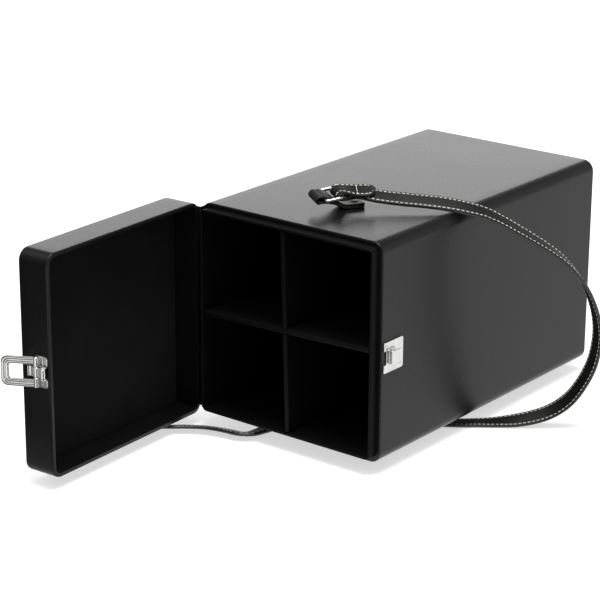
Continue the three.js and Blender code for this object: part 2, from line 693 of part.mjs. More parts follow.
// The strap's centre line and, at each point, the direction across it as an azimuth and a dip.
// It runs from the top ring over the clasp side, under the box and round to the underside's ring.
const topTail = [
  [29.2, -81.8, 204.8, -47, 22], [17.5, -93.1, 204.5, -46, 21], [12.3, -99, 205.8, -38, 14],
];
const route = [
  [10.8, -97.6, 200.6, -36, 14], [15.5, -90.7, 202, -48, 21], [33.3, -82.1, 199.9, -52, 22],
  [48.4, -73.8, 198.7, -56, 24], [62.8, -65.1, 197.7, -56, 24], [77.3, -56.5, 196.4, -56, 24],
  [94, -45.6, 193.4, -54, 23], [108.4, -33.6, 188.2, -51, 21], [120, -24.4, 181, -49, 19],
  [138.5, -8, 166.2, -48, 17], [150.6, 3, 155.5, -48, 15], [160.7, 12.2, 144.2, -48, 14],
  [171.5, 23.5, 124.5, -50, 11], [177.5, 32.5, 100.4, -50, 9], [178.8, 37, 81, -50, 9],
  [177.3, 38.5, 65.2, -50, 11], [173.2, 37.6, 46, -50, 14], [162.6, 32.8, 22.5, -50, 20],
  [154.6, 27.4, 11.4, -50, 23], [144.8, 20.4, 3.2, -50, 24], [134.4, 12.8, -1.8, -50, 23],
  [122, 3.8, -5.4, -50, 19], [107.4, -6.6, -7.5, -51, 8], [93.4, -17, -8.4, -51, 1],
  [79.8, -28.2, -8.5, -50, 0], [64.4, -38, -8.5, -65, 0], [47, -43.5, -8.5, -80, 0],
  [28.7, -44.3, -8.5, -95, 0], [10.9, -40.4, -8.5, -110, 0], [-8, -31, -8.5, -119, 0],
  [-34, -16, -8.5, -120, 0], [-64, 1.4, -8.5, -120, 0], [-95, 19.5, -8.5, -120, 0],
  [-119, 32.4, -8.3, -113, 1], [-146, 39.3, -8, -90, 3], [-172.2, 33.5, -7.8, -65, 5],
  [-193.5, 17.2, -7.8, -40, 5], [-205.9, -6.6, -7.8, -15, 5], [-209, -36, -7.8, 0, 5],
  [-209, -66, -7.8, 0, 5], [-209, -96, -7.8, 0, 5], [-209, -126, -7.8, 0, 5],
  [-208.4, -158, -7.8, 4, 5], [-202.8, -187, -7.6, 24, 6], [-188.4, -207.1, -7.4, 50, 8],
  [-167.2, -218.1, -7.1, 76, 10], [-143.4, -217.8, -6.8, 102, 13], [-124, -209.6, -6.4, 120, 16],
  [-105.4, -197.4, -6, 128, 19], [-91.6, -185.8, -6, 129, 19], [-76.6, -176.6, -6, 116, 19],
  [-59, -171.6, -6, 101, 19], [-46, -169.4, -6, 106, 18], [-38.4, -163.6, -5.8, 140, 14],
  [-34.6, -152.6, -5.2, 158, 9], [-32, -140, -4.2, 154, 4], [-29.4, -130.6, -2.9, 140, 1],
];
const underTail = [[-29.8, -127.6, -8.5, 134, 0], [-35, -138.6, -8.5, 152, 0]];

function strapPoint([x, y, z, azimuth, dip]) {
  const a = THREE.MathUtils.degToRad(azimuth);
  const d = THREE.MathUtils.degToRad(dip);
  return {
    at: new THREE.Vector3(x, y, z),
    across: new THREE.Vector3(Math.cos(a) * Math.cos(d), Math.sin(a) * Math.cos(d), -Math.sin(d)),
  };
}

// Points of the strap's half turn round a ring's bow, from its outer side to its inner side
function foldPoints({ frame, lift, slack, twist, ringTurn }) {
  const radius = ringWireRadius + foldRoom + strapThickness / 2;
  const ring = frame.clone()
    .multiply(new THREE.Matrix4().makeTranslation(tabReach - slack, 0, lift))
    .multiply(new THREE.Matrix4().makeRotationFromEuler(new THREE.Euler(-twist, ringTurn, 0)));
  const bow = new THREE.Vector3(ringLength, 0, 0).applyMatrix4(ring);
  const away = new THREE.Vector3(1, 0, 0).transformDirection(ring);
  const out = new THREE.Vector3(0, 0, 1).transformDirection(ring);
  const across = new THREE.Vector3(0, 1, 0).transformDirection(ring);
  const side = Math.sign(Math.cos(ringTurn));
  return [90, 135, 180, 225, 270].map((degrees) => {
    const angle = THREE.MathUtils.degToRad(degrees);
    return {
      at: bow.clone()
        .addScaledVector(away, Math.cos(angle) * radius)
        .addScaledVector(out, Math.sin(angle) * radius * side),
      across,
    };
  });
}

function addStrap() {
  const points = [
    ...topTail.map(strapPoint),
    ...foldPoints(topAnchor),
    ...route.map(strapPoint),
    ...foldPoints(underAnchor).reverse(),
    ...underTail.map(strapPoint),
  ];
  const line = new THREE.CatmullRomCurve3(points.map((point) => point.at));
  const across = new THREE.CatmullRomCurve3(points.map((point) => point.across));
  const rings = [];
  const spans = points.length - 1;
  for (let span = 0; span < spans; span += 1) {
    const length = points[span].at.distanceTo(points[span + 1].at);
    const steps = Math.max(1, Math.round(length / strapStep));
    for (let step = 0; step < steps; step += 1) {
      rings.push(strapSection(line, across, (span + step / steps) / spans));
    }
  }
  rings.push(strapSection(line, across, 1));
  addPiece(part, 'strap', toSolid(skinned(rings, false)), 'strap');
}

// The strap's four-cornered section at a share of its route
function strapSection(line, acrossLine, share) {
  const at = line.getPoint(share);
  const along = line.getTangent(share);
  const across = acrossLine.getPoint(share);
  across.addScaledVector(along, -across.dot(along)).normalize();
  const up = along.clone().cross(across);
  return [[-1, -1], [1, -1], [1, 1], [-1, 1]].map(([side, face]) => at.clone()
    .addScaledVector(across, side * strapWidth / 2)
    .addScaledVector(up, face * strapThickness / 2));
}

addBody();
addDividers();
addCatch();
addLid();
addAnchor('top_anchor', topAnchor);
addAnchor('under_anchor', underAnchor);
addStrap();

export default part;
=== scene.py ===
import json
import math

import bmesh
import bpy
from mathutils import Matrix, Vector, noise


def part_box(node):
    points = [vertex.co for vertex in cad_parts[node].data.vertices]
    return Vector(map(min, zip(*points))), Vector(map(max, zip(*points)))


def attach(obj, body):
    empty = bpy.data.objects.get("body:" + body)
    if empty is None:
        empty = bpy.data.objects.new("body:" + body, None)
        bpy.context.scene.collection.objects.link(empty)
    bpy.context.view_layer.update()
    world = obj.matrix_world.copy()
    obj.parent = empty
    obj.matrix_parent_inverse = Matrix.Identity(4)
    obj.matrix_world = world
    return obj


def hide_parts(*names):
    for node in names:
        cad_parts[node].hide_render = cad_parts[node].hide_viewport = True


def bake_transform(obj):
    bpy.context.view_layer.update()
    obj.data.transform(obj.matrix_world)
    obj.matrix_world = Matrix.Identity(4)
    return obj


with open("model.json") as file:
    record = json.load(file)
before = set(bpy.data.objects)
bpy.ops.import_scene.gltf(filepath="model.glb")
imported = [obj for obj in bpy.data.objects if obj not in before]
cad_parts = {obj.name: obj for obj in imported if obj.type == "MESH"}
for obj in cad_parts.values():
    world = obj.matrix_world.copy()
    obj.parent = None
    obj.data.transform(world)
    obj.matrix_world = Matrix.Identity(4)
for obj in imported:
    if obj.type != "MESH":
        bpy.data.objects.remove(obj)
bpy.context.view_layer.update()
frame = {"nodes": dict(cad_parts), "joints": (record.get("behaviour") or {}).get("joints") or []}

# Shapes are worked out in millimetres and turned into metres when a piece is made
MM = 0.001


def node_box(node):
    return [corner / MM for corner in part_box(node)]


BOX_LOW, BOX_HIGH = node_box("body_cover")
WIDTH = BOX_HIGH.x - BOX_LOW.x
HEIGHT = BOX_HIGH.z - BOX_LOW.z
HALF = WIDTH / 2
MIDDLE = HEIGHT / 2
MOUTH = BOX_LOW.y
BASE = BOX_HIGH.y
CORNER_RADIUS = 10
EDGE_RADIUS = 1.2
COVER = 0.8
GLUE = 0.1
BOARD = 3.2
HEM = 12
RIM_GAP = 0.3
LID_DEPTH = 30
LID_WALL = 2.6
LID_OPEN = 88
RIM_INSET = COVER + GLUE + BOARD
LID_RIM_INSET = COVER + GLUE + LID_WALL
RIM_CORNER = 1.6
NECK_CORNER = 6
FLOOR_HEIGHT = -10.3
RIPPLE_HEIGHT = 0.08
RIPPLE_LENGTH = 90
PANEL_EDGE = 0.3
LINER_EDGE = 0.7
LID_WALL_EDGE = 0.5
DIVIDER_EDGE = 1.1
CLOTH_EDGE = 0.4
HINGE_THICKNESS = 0.9
HINGE_EDGE = 0.25
# The smallest radius of a turned shape, at its axis
AXIS_ROOM = 0.05

JOINTS = {joint["name"]: joint for joint in frame["joints"]}


# Shapes: each is a list of points and a list of faces

def skin(rings, is_loop=False):
    """A skin over rings of points, joined into a loop or capped at both ends."""
    sides = len(rings[0])
    points = [point for ring in rings for point in ring]
    faces = []
    for ring in range(len(rings) if is_loop else len(rings) - 1):
        following = (ring + 1) % len(rings)
        for side in range(sides):
            beside = (side + 1) % sides
            faces.append((ring * sides + side, ring * sides + beside,
                          following * sides + beside, following * sides + side))
    if not is_loop:
        faces.append(tuple(range(sides)))
        faces.append(tuple(range((len(rings) - 1) * sides, len(rings) * sides)))
    return points, faces


def merged(*shapes):
    points, faces = [], []
    for shape_points, shape_faces in shapes:
        start = len(points)
        points.extend(shape_points)
        faces.extend(tuple(start + corner for corner in face) for face in shape_faces)
    return points, faces


def placed(shape, matrix):
    return [matrix @ Vector(point) for point in shape[0]], shape[1]


def moved(shape, x=0, y=0, z=0):
    return placed(shape, Matrix.Translation((x, y, z)))


def arc(centre, radius, start, end, steps):
    turns = [math.radians(start + (end - start) * step / steps) for step in range(steps + 1)]
    return [(centre[0] + radius * math.cos(turn), centre[1] + radius * math.sin(turn)) for turn in turns]


def rounded(width, height, radius, steps=8):
    x, y = width / 2 - radius, height / 2 - radius
    corners = [((x, y), 0), ((-x, y), 90), ((-x, -y), 180), ((x, -y), 270)]
    return [point for centre, start in corners for point in arc(centre, radius, start, start + 90, steps)]


def walk(path, is_loop=False):
    """The points of a path in a plane, each with the direction to the path's right."""
    for index, (x, y) in enumerate(path):
        if is_loop:
            before, after = path[index - 1], path[(index + 1) % len(path)]
        else:
            before, after = path[max(index - 1, 0)], path[min(index + 1, len(path) - 1)]
        along = (Vector(after) - Vector(before)).normalized()
        yield x, y, Vector((along.y, -along.x))


def prism(outline, thickness, matrix=None):
    rings = [[Vector((x, y, level)) for x, y in outline] for level in (0, thickness)]
    return placed(skin(rings), matrix or Matrix.Identity(4))


def lathe(profile, sides=32, is_loop=False):
    rings = []
    for radius, level in profile:
        turns = [2 * math.pi * side / sides for side in range(sides)]
        rings.append([Vector((radius * math.cos(turn), radius * math.sin(turn), level)) for turn in turns])
    return skin(rings, is_loop)


def to_bmesh(shape):
    work = bmesh.new()
    made = [work.verts.new(point) for point in shape[0]]
    for face in shape[1]:
        work.faces.new([made[corner] for corner in face])
    return work


def from_bmesh(work, unit=1):
    """A bmesh's points, counted in the unit, and its faces; the bmesh is freed."""
    work.verts.index_update()
    points = [vertex.co / unit for vertex in work.verts]
    faces = [tuple(vertex.index for vertex in face.verts) for face in work.faces]
    work.free()
    return points, faces


def softened_shape(shape, width, segments=3, sharp=30):
    """Rounds every edge that turns more than the sharp angle, in degrees."""
    work = to_bmesh(shape)
    bmesh.ops.remove_doubles(work, verts=work.verts, dist=0.001)
    bmesh.ops.recalc_face_normals(work, faces=work.faces)
    edges = [edge for edge in work.edges
             if len(edge.link_faces) == 2 and edge.calc_face_angle() > math.radians(sharp)]
    bmesh.ops.bevel(work, geom=edges, offset=width, segments=segments, profile=0.5,
                    affect="EDGES", clamp_overlap=True)
    return from_bmesh(work)


# The YZ plane pushed along X, as the clasp's plates are
ACROSS_X = Matrix(((0, 0, 1, 0), (1, 0, 0, 0), (0, 1, 0, 0), (0, 0, 0, 1)))


def weigh_normals(piece):
    """Keeps flat faces flat in the light, so that only rounded edges turn."""
    weigh = piece.modifiers.new("weigh", "WEIGHTED_NORMAL")
    weigh.keep_sharp = True
    seen = piece.evaluated_get(bpy.context.evaluated_depsgraph_get())
    mesh = bpy.data.meshes.new_from_object(seen)
    piece.modifiers.clear()
    old = piece.data
    piece.data = mesh
    bpy.data.meshes.remove(old)
    mesh.name = piece.name


def add_object(name, data):
    made = bpy.data.objects.new(name, data)
    bpy.context.scene.collection.objects.link(made)
    return made


def add_piece(name, shape, body, finishes, replaces=(), matrix=None, smooth=40, pick=None):
    """Makes a piece in metres; pick says which finish a face takes."""
    mesh = bpy.data.meshes.new(name)
    matrix = matrix or Matrix.Identity(4)
    mesh.from_pydata([(matrix @ Vector(point)) * MM for point in shape[0]], [], shape[1])
    work = bmesh.new()
    work.from_mesh(mesh)
    bmesh.ops.remove_doubles(work, verts=work.verts, dist=0.0005 * MM)
    bmesh.ops.recalc_face_normals(work, faces=work.faces)
    if pick:
        for face in work.faces:
            face.material_index = pick(face)
    work.to_mesh(mesh)
    work.free()
    for finish in finishes:
        mesh.materials.append(finish)
    mesh.shade_smooth()
    mesh.set_sharp_from_angle(angle=math.radians(smooth))
    piece = add_object(name, mesh)
    weigh_normals(piece)
    if replaces:
        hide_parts(*replaces)
    if body:
        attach(piece, body)
    return piece


def ripple(shape, seed):
    """Moves a skin's points along their normals by a slow, low wave."""
    work = to_bmesh(shape)
    bmesh.ops.recalc_face_normals(work, faces=work.faces)
    work.normal_update()
    shift = Vector((seed, 2 * seed, 3 * seed))
    points = [vertex.co + vertex.normal * RIPPLE_HEIGHT * noise.noise(vertex.co / RIPPLE_LENGTH + shift)
              for vertex in work.verts]
    work.free()
    return points, shape[1]


# Finishes

def new_finish(name, colour, roughness, metallic=0, ior=1.5, specular=0.5):
    finish = bpy.data.materials.new(name)
    finish.use_nodes = True
    shader = finish.node_tree.nodes["Principled BSDF"]
    shader.inputs["Base Color"].default_value = (*colour, 1)
    shader.inputs["Roughness"].default_value = roughness
    shader.inputs["Metallic"].default_value = metallic
    shader.inputs["IOR"].default_value = ior
    shader.inputs["Specular IOR Level"].default_value = specular
    return finish, finish.node_tree, shader


def add_node(tree, kind, **settings):
    node = tree.nodes.new(kind)
    for key, value in settings.items():
        if key in node.inputs:
            node.inputs[key].default_value = value
        else:
            setattr(node, key, value)
    return node


def add_noise(tree, scale, detail=3, stretch=(1, 1, 1)):
    place = tree.nodes.new("ShaderNodeTexCoord")
    mapping = tree.nodes.new("ShaderNodeMapping")
    mapping.inputs["Scale"].default_value = stretch
    pattern = add_node(tree, "ShaderNodeTexNoise", Scale=scale, Detail=detail)
    tree.links.new(place.outputs["Object"], mapping.inputs["Vector"])
    tree.links.new(mapping.outputs["Vector"], pattern.inputs["Vector"])
    return pattern.outputs["Fac"]


def add_cells(tree, scale):
    place = tree.nodes.new("ShaderNodeTexCoord")
    pattern = add_node(tree, "ShaderNodeTexVoronoi", Scale=scale)
    tree.links.new(place.outputs["Object"], pattern.inputs["Vector"])
    return pattern.outputs["Distance"]


def add_ramp(tree, source, values):
    """A number that follows another: where it starts and ends, and its values there."""
    ramp = tree.nodes.new("ShaderNodeMapRange")
    for socket, value in zip(("From Min", "From Max", "To Min", "To Max"), values):
        ramp.inputs[socket].default_value = value
    tree.links.new(source, ramp.inputs["Value"])
    return ramp.outputs["Result"]


# The part of a noise's range in which most of its values lie
NOISE_LOW = 0.3
NOISE_HIGH = 0.7
# Heights of the leather's grain, in metres
PEBBLE_HEIGHT = 0.00008
CREASE_HEIGHT = 0.00005


def vary(tree, source, target, low, high):
    """Links a pattern to a number or a colour, between a low and a high value."""
    if isinstance(low, tuple):
        ramp = tree.nodes.new("ShaderNodeValToRGB")
        ramp.color_ramp.elements[0].position = NOISE_LOW
        ramp.color_ramp.elements[1].position = NOISE_HIGH
        ramp.color_ramp.elements[0].color = (*low, 1)
        ramp.color_ramp.elements[1].color = (*high, 1)
        tree.links.new(source, ramp.inputs["Fac"])
        tree.links.new(ramp.outputs["Color"], target)
        return
    tree.links.new(add_ramp(tree, source, (NOISE_LOW, NOISE_HIGH, low, high)), target)


def bump(tree, shader, source, strength, distance):
    relief = tree.nodes.new("ShaderNodeBump")
    relief.inputs["Strength"].default_value = strength
    relief.inputs["Distance"].default_value = distance
    last = shader.inputs["Normal"].links
    if last:
        tree.links.new(last[0].from_socket, relief.inputs["Normal"])
    tree.links.new(source, relief.inputs["Height"])
    tree.links.new(relief.outputs["Normal"], shader.inputs["Normal"])


def leather_finish(name, dark, light, rough, ior, grain, relief):
    finish, tree, shader = new_finish(name, light, rough[1], ior=ior)
    vary(tree, add_noise(tree, 14), shader.inputs["Base Color"], dark, light)
    vary(tree, add_noise(tree, 25), shader.inputs["Roughness"], *rough)
    bump(tree, shader, add_cells(tree, grain), relief, PEBBLE_HEIGHT)
    bump(tree, shader, add_noise(tree, grain / 2, 5), relief, CREASE_HEIGHT)
    return finish


LEATHER =leather_finish("leatherette", (0.008, 0.008, 0.008), (0.010, 0.010, 0.0098),
                         rough=(0.27, 0.28), ior=1.38, grain=900, relief=0.05)
# The leatherette inside the box: darker than the outer leatherette. Its colour holds painted shade of the
# box's inside on top of the leather's own black
INNER_LEATHER_AND_SHADE = leather_finish("inner_leatherette", (0.004, 0.004, 0.004), (0.006, 0.006, 0.006),
                       rough=(0.5, 0.6), ior=1.22, grain=900, relief=0.1)
STRAP = leather_finish("strap_leather", (0.008, 0.008, 0.007), (0.013, 0.013, 0.011),
                       rough=(0.4, 0.5), ior=1.36, grain=1300, relief=0.3)
EDGE = leather_finish("edge_paint", (0.02, 0.02, 0.018), (0.03, 0.03, 0.027),
                      rough=(0.2, 0.3), ior=1.65, grain=700, relief=0.1)


def lining_finish():
    finish, tree, shader = new_finish("lining_cloth", (0.004, 0.004, 0.004), 0.95, specular=0.15)
    shader.inputs["Sheen Weight"].default_value = 0.04
    vary(tree, add_noise(tree, 30), shader.inputs["Base Color"], (0.003, 0.003, 0.003), (0.006, 0.006, 0.006))
    bump(tree, shader, add_noise(tree, 1800, 2), 0.4, 0.0002)
    return finish


def thread_finish():
    finish, tree, shader = new_finish("thread", (0.75, 0.74, 0.7), 0.6)
    vary(tree, add_noise(tree, 160), shader.inputs["Base Color"], (0.78, 0.77, 0.73), (0.93, 0.92, 0.88))
    bump(tree, shader, add_noise(tree, 3500, 2), 0.5, 0.0001)
    return finish


def chrome_finish():
    finish, tree, shader = new_finish("chrome", (0.7, 0.7, 0.69), 0.1, metallic=1)
    vary(tree, add_noise(tree, 180), shader.inputs["Roughness"], 0.06, 0.12)
    vary(tree, add_noise(tree, 90), shader.inputs["Base Color"], (0.74, 0.74, 0.73), (0.88, 0.88, 0.87))
    bump(tree, shader, add_noise(tree, 260, 2), 0.3, 0.0003)
    return finish


def black_metal_finish():
    finish, tree, shader = new_finish("black_metal", (0.03, 0.03, 0.03), 0.45)
    vary(tree, add_noise(tree, 400), shader.inputs["Roughness"], 0.4, 0.5)
    vary(tree, add_noise(tree, 300), shader.inputs["Base Color"], (0.02, 0.02, 0.02), (0.04, 0.04, 0.04))
    return finish


def board_finish():
    finish, tree, shader = new_finish("fibreboard", (0.42, 0.33, 0.23), 0.9, specular=0.2)
    vary(tree, add_noise(tree, 600, 6, (1, 0.2, 1)), shader.inputs["Base Color"],
         (0.36, 0.28, 0.19), (0.5, 0.41, 0.3))
    bump(tree, shader, add_noise(tree, 2200, 4), 0.4, 0.0001)
    return finish


LINING = lining_finish()
THREAD = thread_finish()
CHROME = chrome_finish()
BLACK_METAL = black_metal_finish()
BOARD_FINISH = board_finish()


def add_chrome(name, shape, body, node, matrix=None, smooth=40):
    add_piece(name, shape, body, [CHROME], [node], matrix, smooth)


# Camera, at the photograph's angle: angles in degrees, its place in metres
CAMERA_LENS = 133.37
CAMERA_TURN = 38.256
CAMERA_DIP = 18.9205
CAMERA_ROLL = 0.2756
CAMERA_PLACE = (1.0837, -1.52022, 0.71845)


def add_camera():
    data = bpy.data.cameras.new("camera")
    data.sensor_width = 36
    data.lens = CAMERA_LENS
    data.clip_end = 50
    camera = add_object("camera", data)
    turn =Matrix.Rotation(math.radians(CAMERA_TURN), 4, "Z")
    tilt = Matrix.Rotation(math.radians(90 - CAMERA_DIP), 4, "X")
    roll = Matrix.Rotation(math.radians(CAMERA_ROLL), 4, "Z")
    camera.matrix_world = Matrix.Translation(CAMERA_PLACE) @ turn @ tilt @ roll
    bpy.context.scene.camera = camera


add_camera()


# Strap anchors: where they stand, and how their rings lean
ANCHOR_X = 13.7
ANCHOR_FROM_MOUTH = 69.3
TAB_WIDTH = 16
TAB_PLY = 2
TAB_TAIL = 6
TAB_REACH = 35
TAB_BEND_START = 8
TAB_FLARE = 10
TAB_EDGE = 0.5
PLY_ROOM = 0.04
PLY_SEAM = 0.06
SEAT_GAP = 0.3
RING_WIRE = 1.5
RING_INNER_WIDTH = 18
RING_LENGTH = 15
RING_BAR_CORNER = 2.4
RING_BOW = 3
TOP_HEADING = 242
UNDER_HEADING = 218
TOP_RING_RISE = 1.6
UNDER_RING_DROP = 1.15
RIVET_HEAD = 3.4
RIVET_RISE = 0.7
RIVET_LIP = 0.25
RIVET_CHAMFER = 0.1
RIVET_SHANK = 1.5
RIVET_FLANGE = 3
RIVET_FLANGE_THICKNESS = 0.8


def anchor_frame(on_top, heading):
    turn = math.radians(heading)
    x = Vector((math.cos(turn), math.sin(turn), 0))
    z = Vector((0, 0, 1 if on_top else -1))
    y = z.cross(x)
    frame_matrix = Matrix((x, y, z)).transposed().to_4x4()
    seat = Vector((ANCHOR_X, MOUTH + ANCHOR_FROM_MOUTH, HEIGHT if on_top else 0))
    return Matrix.Translation(seat) @ frame_matrix


# Each anchor's frame, the height of its ring's bar, the slack of the tab's loop behind the bar,
# the tab's twist in degrees and the ring's turn about its bar
TOP_ANCHOR = {"frame": anchor_frame(True, TOP_HEADING), "lift": 11.7, "slack": 5, "twist": 9,
              "turn": math.pi + math.asin(TOP_RING_RISE / RING_LENGTH)}
UNDER_ANCHOR = {"frame": anchor_frame(False, UNDER_HEADING), "lift": 2 * SEAT_GAP + RING_WIRE + TAB_PLY,
                "slack": 0, "twist": 0, "turn": -math.asin(UNDER_RING_DROP / RING_LENGTH)}


def ring_frame(anchor):
    bar = Matrix.Translation((TAB_REACH - anchor["slack"], 0, anchor["lift"]))
    twist = Matrix.Rotation(math.radians(-anchor["twist"]), 4, "X")
    return anchor["frame"] @ bar @ twist @ Matrix.Rotation(anchor["turn"], 4, "Y")


# Strap: the centre line's points, each with the azimuth and dip of the direction across it
STRAP_WIDTH = 16
STRAP_THICKNESS = 3
FOLD_ROOM = 0.35
TOP_TAIL = [
    [29.2, -81.8, 204.8, -47, 22], [17.5, -93.1, 204.5, -46, 21], [12.3, -99, 205.8, -38, 14],
]
ROUTE = [
    [10.8, -97.6, 200.6, -36, 14], [15.5, -90.7, 202, -48, 21], [33.3, -82.1, 199.9, -52, 22],
    [48.4, -73.8, 198.7, -56, 24], [62.8, -65.1, 197.7, -56, 24], [77.3, -56.5, 196.4, -56, 24],
    [94, -45.6, 193.4, -54, 23], [108.4, -33.6, 188.2, -51, 21], [120, -24.4, 181, -49, 19],
    [138.5, -8, 166.2, -46, 17], [150.6, 3, 155.5, -43, 15], [160.7, 12.2, 144.2, -40, 14],
    [171.5, 23.5, 124.5, -35, 12], [177.5, 32.5, 100.4, -32, 12], [178.8, 37, 81, -31, 12],
    [177.3, 38.5, 65.2, -31, 14], [173.2, 37.6, 46, -33, 18], [162.6, 32.8, 22.5, -37, 24],
    [154.6, 27.4, 11.4, -40, 27], [144.8, 20.4, 3.2, -43, 27], [134.4, 12.8, -1.8, -46, 25],
    [122, 3.8, -5.4, -48, 20], [107.4, -6.6, -7.5, -51, 8], [93.4, -17, -8.4, -51, 1],
    [79.8, -28.2, -8.5, -50, 0], [64.4, -38, -8.5, -65, 0], [47, -43.5, -8.5, -80, 0],
    [28.7, -44.3, -8.5, -95, 0], [10.9, -40.4, -8.5, -110, 0], [-8, -31, -8.5, -119, 0],
    [-34, -16, -8.5, -120, 0], [-64, 1.4, -8.5, -120, 0], [-95, 19.5, -8.5, -120, 0],
    [-119, 32.4, -8.3, -113, 1], [-146, 39.3, -8, -90, 3], [-172.2, 33.5, -7.8, -65, 5],
    [-193.5, 17.2, -7.8, -40, 5], [-205.9, -6.6, -7.8, -15, 5], [-209, -36, -7.8, 0, 5],
    [-209, -66, -7.8, 0, 5], [-209, -96, -7.8, 0, 5], [-209, -126, -7.8, 0, 5],
    [-208.4, -158, -7.8, 4, 5], [-202.8, -187, -7.6, 24, 6], [-188.4, -207.1, -7.4, 50, 8],
    [-167.2, -218.1, -7.1, 76, 10], [-143.4, -217.8, -6.8, 102, 13], [-124, -209.6, -6.4, 120, 16],
    [-105.4, -197.4, -6, 128, 19], [-91.6, -185.8, -6, 129, 19], [-76.6, -176.6, -6, 116, 19],
    [-59, -171.6, -6, 101, 19], [-46, -169.4, -6, 106, 18], [-38.4, -163.6, -5.8, 140, 14],
    [-34.6, -152.6, -5.2, 158, 9], [-32, -140, -4.2, 154, 4], [-29.4, -130.6, -2.9, 140, 1],
]
UNDER_TAIL = [[-29.8, -127.6, -8.5, 134, 0], [-35, -138.6, -8.5, 152, 0]]


def strap_point(entry):
    x, y, z, azimuth, dip = entry
    a, d = math.radians(azimuth), math.radians(dip)
    return Vector((x, y, z)), Vector((math.cos(a) * math.cos(d), math.sin(a) * math.cos(d), -math.sin(d)))


def fold_points(anchor):
    """The half turn round a ring's bow, from its outer side to its inner side."""
    radius = RING_WIRE + FOLD_ROOM + STRAP_THICKNESS / 2
    ring = ring_frame(anchor)
    bow = ring @ Vector((RING_LENGTH, 0, 0))
    away, across, out = (column.normalized() for column in ring.to_3x3().transposed())
    side = math.copysign(1, math.cos(anchor["turn"]))
    points = []
    for degrees in (90, 135, 180, 225, 270):
        angle = math.radians(degrees)
        points.append((bow + (away * math.cos(angle) + out * math.sin(angle) * side) * radius, across))
    return points


def spline_at(points, place):
    """A centripetal spline through the points, at a place counted in points: position and slope."""
    span = min(int(place), len(points) - 2)
    share = place - span
    p1, p2 = points[span], points[span + 1]
    p0 = points[span - 1] if span > 0 else 2 * p1 - p2
    p3 = points[span + 2] if span + 2 < len(points) else 2 * p2 - p1
    gaps = [math.sqrt((b - a).length) for a, b in ((p0, p1), (p1, p2), (p2, p3))]
    middle = gaps[1] if gaps[1] > 1e-4 else 1
    before = gaps[0] if gaps[0] > 1e-4 else middle
    after = gaps[2] if gaps[2] > 1e-4 else middle
    start = ((p1 - p0) / before - (p2 - p0) / (before + middle) + (p2 - p1) / middle) * middle
    end = ((p2 - p1) / middle - (p3 - p1) / (middle + after) + (p3 - p2) / after) * middle
    square = 3 * (p2 - p1) - 2 * start - end
    cube = 2 * (p1 - p2) + start + end
    at = p1 + start * share + square * share ** 2 + cube * share ** 3
    slope = start + square * 2 * share + cube * 3 * share ** 2
    return at, slope


def strap_line():
    """What gives a distance's position, along, across and up on the strap, and the strap's length."""
    points = [
        *map(strap_point, TOP_TAIL),
        *fold_points(TOP_ANCHOR),
        *map(strap_point, ROUTE),
        *reversed(fold_points(UNDER_ANCHOR)),
        *map(strap_point, UNDER_TAIL),
    ]
    line = [point[0] for point in points]
    across_line = [point[1] for point in points]
    fine = 40
    dense = [spline_at(line, step / fine) for step in range(fine * (len(line) - 1) + 1)]
    travelled = [0]
    for (a, _), (b, _) in zip(dense, dense[1:]):
        travelled.append(travelled[-1] + (b - a).length)

    def station(distance):
        low, high = 0, len(travelled) - 1
        while high - low > 1:
            middle = (low + high) // 2
            low, high = (middle, high) if travelled[middle] <= distance else (low, middle)
        share = (distance - travelled[low]) / max(travelled[high] - travelled[low], 1e-9)
        place = min((low + share) / fine, len(line) - 1)
        at, along = spline_at(line, place)
        along.normalize()
        across = spline_at(across_line, place)[0]
        across = (across - along * across.dot(along)).normalized()
        return at, along, across, along.cross(across)

    return station, travelled[-1]


STATION, STRAP_TOTAL = strap_line()

# One half of the strap's section, as shares of its half width and half thickness, from its edge
# round the painted corner and over the sewn groove to the middle
EDGE_SHARES = [
    (1, 0), (0.99, 0.36), (0.955, 0.68), (0.895, 0.88), (0.82, 0.93), (0.76, 0.8),
    (0.71, 0.8), (0.65, 0.95), (0.55, 0.985), (0.3, 1), (0, 1),
]
STITCH_PITCH = 3.9
STITCH_LENGTH = 3.15
STITCH_RADIUS = 0.47
STITCH_PLACE_SHARE = 0.735
STITCH_SINK = 0.3
STITCH_FLATNESS_SHARE = 0.8
CROSS_STITCH_SHARE = 0.8
STRAP_STEP = 2
TIP_ROUND = 8
TIP_END_SHARE = 0.02
FOLD_SEAM = 16
# Along a stitch: the place, the thread's size there and its rise
LONG_STITCH_SHARES = [(0, 0.25, -0.9), (0.08, 0.75, -0.45), (0.25, 1, 0), (0.5, 1, 0.1), (0.75, 1, 0),
                      (0.92, 0.75, -0.45), (1, 0.25, -0.9)]
SHORT_STITCH_SHARES = [(0, 0.25, -0.9), (0.1, 0.8, -0.4), (0.5, 1, 0.1), (0.9, 0.8, -0.4), (1, 0.25, -0.9)]


def strap_outline():
    half_top = EDGE_SHARES[:-1]
    top = half_top + [(0, 1)] + [(-a, b) for a, b in reversed(half_top)]
    under = [(a, -b) for a, b in reversed(top[1:-1])]
    return top + under


def tip_width(distance):
    """The half width's share near a round end."""
    near = min(distance, STRAP_TOTAL - distance)
    if near >= TIP_ROUND:
        return 1
    return max(math.sqrt(1 - (1 - near / TIP_ROUND) ** 2), TIP_END_SHARE)


